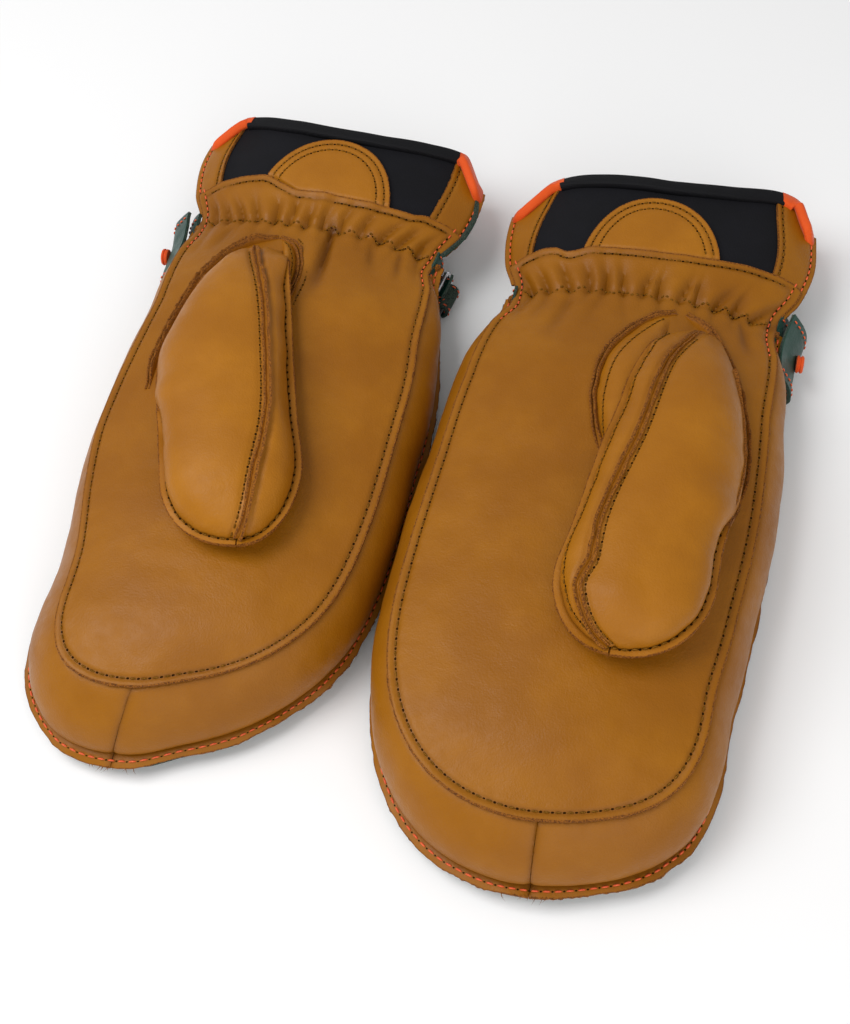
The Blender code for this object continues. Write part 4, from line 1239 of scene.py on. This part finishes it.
# ---- The cuff ----
def cuff_grid(h, u_low, u_high, start, upper, inset, short, columns):
    """Part of the cuff's skin. u_low and u_high are functions of y that give its sides, as shares."""
    t, s = np.linspace(0, 1, 50)[:, None], np.linspace(0, 1, columns)[None, :]
    y = start + (MOUTH_Y - start) * t + 0 * s
    for _ in range(6):  # y and u depend on each other, so they are worked out in turn
        low, high = u_low(y), u_high(y)
        u = low + (high - low) * s
        y = start + (along(h.look["mouth"], u) - short - start) * t
    return cuff_skin(u, y, upper, inset), u, y


def make_cuff(h):
    skin = LEATHER + GAP
    strips = h.look["strips"]
    brown, orange = Piece(), Piece()

    under_strips = [lambda y, side=side: side * (along(strips[side], y) + 0.05) for side in (-1, 1)]
    grid, u, y = cuff_grid(h, *under_strips, 233.0, True, skin, 1.0, 110)
    normals = grid_normals(grid, CUFF_CORE)
    soft = lumps(grid, h.seed + 100, (0.5, 26), (0.18, 9)) * smooth(1.0, 0.8, np.abs(u))
    grid = grid + normals * (soft - 0.5 * smooth(250, 236, y))[..., None]
    piece = Piece()
    piece.sheet(grid, normals, LEATHER, seed=h.seed)
    piece.make("cuff_front", h, "softshell", "cuff", "cuff_front_panel")

    for sign, name in ((1, "thumb_side"), (-1, "little_finger_side")):
        sides = lambda y: sign * along(strips[sign], y), lambda y: sign * 1.035
        grid, u, y = cuff_grid(h, *sides, 232.0, True, skin - 1.3, 0.6, 40)
        normals = grid_normals(grid, CUFF_CORE)
        edge = np.minimum(from_column(grid, 0), from_column(grid, -1))
        ripple = 0.3 * noise(grid, 12, h.seed + 103) - 0.45 * bell(edge, CUFF_INSET, 0.9)
        grid = grid + normals * ripple[..., None]
        grid[..., 2] -= 2.8 * smooth(243, 235, y) * smooth(1.0, 0.9, np.abs(u))
        piece = Piece()
        # Painted shade along the stitch groove.
        fold = 0.3 * bell(edge, CUFF_INSET, 0.7)
        piece.sheet(grid, normals, STRIP_LEATHER, rawness(edge, 0.5), fold, seed=h.seed + 104, fuzz=0.3)
        piece.make(f"cuff_strip_{name}_skin", h, "tan", "cuff", f"cuff_strip_{name}")
        for threads, column, keep in ((brown, 0, slice(10, -3)), (orange, -1, slice(2, -3))):
            line, ups = line_beside(grid, normals, from_column(grid, column), CUFF_INSET)
            stitches(threads, line[keep], ups[keep], pitch=3.2, radius=0.34)
    make_patch(h, brown)
    brown.make("cuff_stitches", h, "brown_stitches", "cuff")
    orange.make("cuff_side_stitches", h, "orange_stitches", "cuff")

    grid, u, y = cuff_grid(h, lambda y: -1.0, lambda y: 1.0, 226.5, False, skin, 0.6, 120)
    bulge = np.where(u > 0, h.look["back_bulge"][1], h.look["back_bulge"][-1])
    bulge = bulge * smooth(0.75, 0.97, np.abs(u)) * smooth(222, 232, y) * smooth(272, 250, y)
    grid[..., 0] += np.sign(u) * bulge
    normals = grid_normals(grid, CUFF_CORE)
    puckers = 0.8 * np.sin(u * 60) * smooth(242, 230, y) * smooth(1.0, 0.9, np.abs(u))
    height = 0.3 * noise(grid, 18, h.seed + 110) + puckers - 0.6 * smooth(236, 228, y)
    piece = Piece()
    piece.sheet(grid + normals * height[..., None], normals, LEATHER, seed=h.seed + 111)
    piece.make("cuff_back", h, "green", across_wrist, "cuff_back_panel")
    make_bindings(h)
    make_cuff_lining(h)


def make_patch(h, threads):
    """The half-round leather patch on the palm side of the cuff, with its two rows of stitches."""
    centre_x, half_width, high = h.look["patch"]
    low = 233.0
    rays = np.linspace(math.pi, 0, 100)[:, None]
    shares = np.linspace(1, 0, 34)[None] ** 0.8
    x = centre_x + half_width * np.cos(rays) * shares
    y = low + (high - low) * np.sin(rays) ** 0.92 * shares
    width = np.where(x > 0, along(CUFF_THUMB_WIDTHS, y), along(CUFF_LITTLE_WIDTHS, y))
    grid = cuff_skin(x / width, y, True, -0.1)
    normals = grid_normals(grid, CUFF_CORE)
    edge = np.where(y < low + 1, FAR, from_column(grid, 0))
    past_ruffle = y - along(h.look["edge"], x)
    height = 0.3 * noise(grid, 14, h.seed + 120) - 2.6 * smooth(0.8, -1.8, past_ruffle)
    for inset, depth in zip(PATCH_INSETS, (0.4, 0.35)):
        height = height - depth * bell(edge, inset, 0.8)
    grid = grid + normals * height[..., None]
    piece = Piece()
    # Painted shade along the outer stitch groove.
    fold = 0.25 * bell(edge, PATCH_INSETS[0], 0.6)
    piece.sheet(grid, normals, 1.2, rawness(edge, 0.5), fold, seed=h.seed + 121, fuzz=0.3)
    piece.make("cuff_patch_skin", h, "light_tan", "cuff", "cuff_patch")
    for inset in PATCH_INSETS:
        line, ups = line_beside(grid, normals, from_column(grid, 0), inset)
        stitches(threads, line[3:-3], ups[3:-3], pitch=3.0)


def superellipse(turns, power_x, power_y):
    """Points of a rounded box of half-width 1."""
    c, s = np.cos(turns), np.sin(turns)
    return np.sign(c) * np.abs(c) ** power_x, np.sign(s) * np.abs(s) ** power_y


def round_cuff(u, y, upper, inset):
    """Points round the cuff's skin. upper says which of them lie on its upper side."""
    return np.where(upper[:, None], cuff_skin(u, y, True, inset), cuff_skin(u, y, False, inset))


def tape(h, u, upper, wide, thick):
    """Rings of a tape that is folded over the opening's edge, along the shares u."""
    turns = np.linspace(0, 2 * math.pi, 20, endpoint=False)
    section_x, section_y = superellipse(turns[None, :, None], 0.5, 0.7)
    path = round_cuff(u, along(h.look["mouth"], u), upper, 1.4)
    ahead = unit(np.gradient(path, axis=0))
    from_centre = path - stack(path[:, 0] * 0.6, path[:, 1] - 3, 20.0)
    inward = unit(np.cross(ahead, unit(from_centre)))
    inward = inward * np.sign(-inward[:, 1:2])
    out = unit(np.cross(inward, ahead))
    out = out * np.sign((out * from_centre).sum(-1))[:, None]
    half = wide[:, None] / 2
    path = path + inward * (half - 1.2) + 0.25 * noise(path, 9, h.seed + 130)[:, None] * out
    return path[:, None] + section_x * (inward * half)[:, None] + section_y * (out * thick / 2)[:, None]


def make_bindings(h):
    """Folded tape over the edge of the opening: black over the front panel, orange round the rest."""
    low, high = h.look["black_tape"]
    piece = Piece()
    piece.tube(tape(h, np.linspace(low, high, 160), np.ones(160, bool), np.full(160, 6.2), 3.6))
    piece.make("mouth_binding_front", h, "black_binding", "cuff", "cuff_binding_front")
    below = np.linspace(1.0, -1.0, 220)[1:-1]
    u = np.concatenate([np.linspace(high - 0.03, 1.0, 40), below, np.linspace(-1.0, low + 0.03, 40)])
    upper = np.ones(len(u), bool)
    upper[40:-40] = False
    wider = np.where(u > 0, h.look["corner_tape"][1], h.look["corner_tape"][-1])
    piece = Piece()
    piece.tube(tape(h, u, upper, 5.0 + wider * smooth(0.7, 0.95, np.abs(u)), 4.0))
    piece.make("mouth_binding_back", h, "orange_binding", "cuff", "cuff_binding_back")


def make_cuff_lining(h):
    """The cuff's soft lining, seen inside the opening."""
    turns = 2 * math.pi * (np.arange(120) + 0.5) / 120
    u, _ = superellipse(turns, 0.8, 1)
    rings = []
    for y in np.linspace(228, MOUTH_Y - 2.0, 60):
        at = np.minimum(y, along(h.look["mouth"], u) - 2.0)
        ring = round_cuff(u, at, np.sin(turns) > 0, LINING_INSET)
        ring[:, 0] *= 1 - 5.0 / np.maximum(np.abs(ring[:, 0]).max(), 1)
        rings.append(ring)
    grid = np.stack(rings)
    normals = grid_normals(grid, (0, 255, 20))
    grid = grid + normals * lumps(grid, h.seed + 140, (0.5, 13), (0.2, 4))[..., None]
    piece = Piece()
    piece.sheet(grid, normals, 2.4, wrap=True, seed=h.seed + 142)
    lining = piece.make("cuff_lining_skin", h, "fleece", across_wrist, "cuff_lining")


def make_liners(h):
    """The insulated bag inside the hand, and the smaller one inside the thumb."""
    fullness = ((23, 0.02), (28, 0.52), (38, 0.76), (54, 0.92), (80, 1.0), (222, 1.0))
    at = np.concatenate([np.arange(222, 40, -3.0), np.arange(40, 23, -1.0)])
    share = np.interp(at, *zip(*fullness))
    turns = np.linspace(0, 2 * math.pi, 72, endpoint=False)
    c, s = superellipse(turns[None], 0.78, 0.78)
    little, thumb = (((along(widths, at) - 7.5) * share)[:, None] for widths in (LITTLE_WIDTHS, THUMB_WIDTHS))
    low = (along(BACK_BOTTOM, at) + LEATHER + 1.5)[:, None]
    high = (along(PALM_SEAM["height"], at) + along(PALM_CROWN, at) * 0.55 - LEATHER - 2.0)[:, None]
    middle = low + (high - low) * 0.45
    x = c * np.where(c > 0, thumb, little)
    z = middle + s * np.where(s > 0, high - middle, middle - low) * (0.35 + 0.65 * share)[:, None]
    grid = stack(x, at[:, None], z)
    normals = grid_normals(grid, (0, 120, 20))
    grid = grid + normals * (0.4 * noise(grid, 20, h.seed + 150))[..., None]
    piece = Piece()
    piece.sheet(grid, normals, 4.5, wrap=True, seed=h.seed + 151)
    liner = piece.make("hand_liner_skin", h, "insulation", across_wrist, "hand_liner")

    thumb = Thumb(h)
    d = np.linspace(30, 126, 50)
    inner, outer = thumb.edge("inner", d), thumb.edge("outer", d)
    centre, half = thumb.plan(d, (inner + outer) / 2), (outer - inner) / 2 - 6.5
    high = (thumb.ridge_height(d) - 47.5) / 2 - 2.2
    c, s = np.cos(turns[::2])[None], np.sin(turns[::2])[None]
    flat = centre[:, None] + (half[:, None] * c)[..., None] * thumb.beside
    piece = Piece()
    piece.tube(level(flat, 48.6 + high[:, None] * (1 + s)))
    liner = piece.make("thumb_liner_skin", h, "insulation", "thumb", "thumb_liner")


# ---- The strap ----
def turn_round(centre, radius, start_deg, sweep_deg):
    """Points of a turn round a bar, seen along y."""
    angles = np.radians(start_deg + sweep_deg * np.linspace(0, 1, 9))
    return [tuple(centre + radius * np.array((math.cos(a), math.sin(a)))) for a in angles]


def strap_edges(h, x):
    """The strap's low and high y. It narrows towards the ring."""
    wide = smooth(-45, 40, x)
    return [h.look["anchor_y"][k] * (1 - wide) + h.look["strap_y"][k] * wide for k in (0, 1)]


def strap_grid(h, route, seed):
    """A strap's middle surface: a route seen along y, swept over a width that narrows towards the ring."""
    path = smooth_path(route, 1.0)
    x, z = path[:, :1], path[:, 1:]
    low, high = strap_edges(h, x)
    y = low + (high - low) * np.linspace(0, 1, 34)[None]
    centre = sum(h.look["strap_y"]) / 2
    follow = smooth(20, 50, x) * (along(THUMB_WIDTHS, y) - along(THUMB_WIDTHS, centre))
    lean = 0.22 * smooth(40, 58, x) * (y - centre)
    grid = stack(x + follow + lean, y, z)
    normals = grid_normals(grid, (0, centre, 30))
    return grid + normals * lumps(grid, seed, (0.35, 12), (0.12, 4))[..., None], normals


def make_ring(h):
    """The wire ring that joins the strap to its anchor: a rectangle with round corners."""
    low, high = h.look["anchor_y"][0] - 2.0, h.look["anchor_y"][1] + 2.0
    corners = [(RING_BAR_AT, low), (RING_BAR_AT, high), (FOLD_AT, high), (FOLD_AT, low)]
    points = np.array([(bar[0], y, bar[1]) for bar, y in corners])
    loop = []
    for start, end in zip(points, np.roll(points, -1, 0)):
        step = (end - start) / np.linalg.norm(end - start)
        loop += [start + step * 1.8, start + (end - start) / 2, end - step * 1.8]
    loop = np.array(loop + loop[:1])
    ahead = unit(np.roll(loop, -1, 0) - np.roll(loop, 1, 0))
    ahead[0] = ahead[-1] = unit(loop[1] - loop[-2])
    flat = unit(np.cross((RING_BAR_AT[0] - FOLD_AT[0], 0, RING_BAR_AT[1] - FOLD_AT[1]), (0, 1.0, 0)))
    turns = np.linspace(0, 2 * math.pi, 14, endpoint=False)[None, :, None]
    rings = loop[:, None] + np.cos(turns) * unit(np.cross(ahead, flat))[:, None] + np.sin(turns) * flat
    piece = Piece()
    piece.add(rings, grid_quads(*rings.shape[:2], wrap=True))
    piece.make("strap_ring_wire", h, "metal", "hand", "strap_ring")


def make_strap(h):
    """Sewn in at the thumb seam, across the back, round the ring's bar and back under itself."""
    middle_y = sum(h.look["strap_y"]) / 2
    side = float(along(THUMB_WIDTHS, middle_y))
    little = float(along(LITTLE_WIDTHS, sum(h.look["anchor_y"]) / 2)) - 1.5
    turn = 1.9 + STRAP_THICK / 2
    out = h.look["tail_out"]
    base = [
        (side - 0.5, 25.0), (side + 2.2 + 0.6 * out, 20.0), (side + 2.4 + 2.6 * out, 12.0),
        (side - 3.0 + out, 6.6), (side - 14.0, 5.6), (0.0, 5.6), (-40.0, 5.6), (-47.0, 6.8),
        *turn_round(FOLD_AT, turn, 75, 180),
    ]
    tail = [
        (-51.0, 2.4), (-30.0, 2.4), (30.0, 2.4), (side - 4.0, 2.4), (side + 5.5 + out, 4.2),
        (side + 9.4 + 2.4 * out, 9.0), (side + 8.2 + 2.4 * out, 16.0), (side + 5.5 + out, 21.5),
        (side + 3.4, 25.2),
    ]
    anchor = [(-little - 1.0, 27.0), (-little - 2.2, 21.0), *turn_round(RING_BAR_AT, turn - 0.3, 40, -230)]
    threads = {"hand": Piece(), "strap": Piece()}
    for name, route, body, thick in (
        ("base", base, "hand", STRAP_THICK),
        ("tail", tail, "strap", STRAP_THICK),
        ("anchor", anchor, "hand", 1.0),
    ):
        grid, normals = strap_grid(h, route, h.seed + 160)
        piece = Piece()
        piece.sheet(grid, normals, thick, seed=h.seed + 161)
        piece.make(f"strap_{name}_skin", h, "green", body, f"strap_{name}")
        for column in (3, -4):
            for face, sign in ((0.05, 1), (-thick - 0.05, -1)):
                line, ups = grid[2:-2, column], normals[2:-2, column]
                stitches(threads[body], line + ups * face, ups * sign, pitch=3.0, hole=0)
    for body, piece in threads.items():
        piece.make(f"strap_{body}_stitches", h, "strap_stitches", body)

    for name, body, ends, z in (("loop", "hand", (-24, 38), 4.55), ("hook", "strap", (4, 36), 3.45)):
        x, share = np.meshgrid(np.linspace(*ends, 120), np.linspace(0, 1, 50), indexing="ij")
        low, high = strap_edges(h, x)
        pile = 0.12 * np.random.default_rng(h.seed + 170).normal(size=x.shape)
        grid = stack(x, low + 2 + (high - low - 4) * share, z + pile)
        piece = Piece()
        piece.sheet(grid, np.broadcast_to(UP, grid.shape), 0.4)
        piece.make(f"strap_{name}_tape_pile", h, "tape", body, f"strap_{name}_tape")

    make_ring(h)
    turns = np.linspace(0, 2 * math.pi, 28, endpoint=False)
    start = side + 9.2 + 2.4 * out
    rings = []
    for at, radius in KNOB_PROFILE:
        rings.append(stack(start + at, middle_y + radius * np.cos(turns), 13.5 + radius * np.sin(turns)))
    piece = Piece()
    piece.tube(rings)
    piece.make("strap_pull_knob", h, "orange_binding", "strap", "strap_pull")


for hand_name in HANDS:
    hand = Hand(hand_name)
    PALM_SEAM.update(hand.look["palm_seam"])  # each hand's fingertip has its own shape
    for make in (make_palm, make_bands, make_back, make_thumb, make_cuff, make_liners, make_strap):
        make(hand)


# ---- Floor, light and camera ----
def add_object(name, data):
    made = bpy.data.objects.new(name, data)
    bpy.context.scene.collection.objects.link(made)
    return made


def make_camera():
    """The camera that took the photograph, as fitted to it."""
    data = bpy.data.cameras.new("camera")
    data.lens, data.sensor_width = CAMERA_LENS, 36.0
    camera = add_object("camera", data)
    flat = math.cos(ELEVATION)
    back = Vector((math.sin(AZIMUTH) * flat, -math.cos(AZIMUTH) * flat, math.sin(ELEVATION)))
    right = Vector((math.cos(AZIMUTH), math.sin(AZIMUTH), 0))
    up = back.cross(right)
    axis_x = right * math.cos(ROLL) + up * math.sin(ROLL)
    axis_y = up * math.cos(ROLL) - right * math.sin(ROLL)
    turn = Matrix((axis_x, axis_y, back)).transposed().to_4x4()
    camera.matrix_world = Matrix.Translation(LOOK_AT + back * CAMERA_DISTANCE) @ turn
    bpy.context.scene.camera = camera


def make_floor():
    mesh = bpy.data.meshes.new("floor")
    work = bmesh.new()
    bmesh.ops.create_grid(work, x_segments=1, y_segments=1, size=6.0)
    work.to_mesh(mesh)
    work.free()
    mesh.materials.append(Nodes("floor_look").finish((*[FLOOR_WHITE] * 3, 1.0), 0.6, Specular_IOR_Level=0.1))
    add_object("floor", mesh)


def make_light(name, energy, size, at):
    """A square lamp that faces the frame's origin."""
    data = bpy.data.lights.new(name, "AREA")
    data.energy, data.size = energy, size
    lamp = add_object(name, data)
    lamp.location = at
    lamp.rotation_mode = "QUATERNION"
    lamp.rotation_quaternion = (-Vector(at)).to_track_quat("-Z", "Y")


def make_world():
    world = bpy.data.worlds.new("studio")
    world.use_nodes = True
    background = world.node_tree.nodes["Background"]
    background.inputs["Color"].default_value = (1.0, 1.0, 1.0, 1.0)
    background.inputs["Strength"].default_value = WORLD_STRENGTH
    bpy.context.scene.world = world


make_camera()
make_floor()
make_world()
make_light("key", 7.2, 0.7, (-0.5, -0.15, 0.95))
make_light("fill", 4.6, 1.0, (0.45, -0.85, 0.6))
bpy.context.scene.view_settings.view_transform = "Standard"
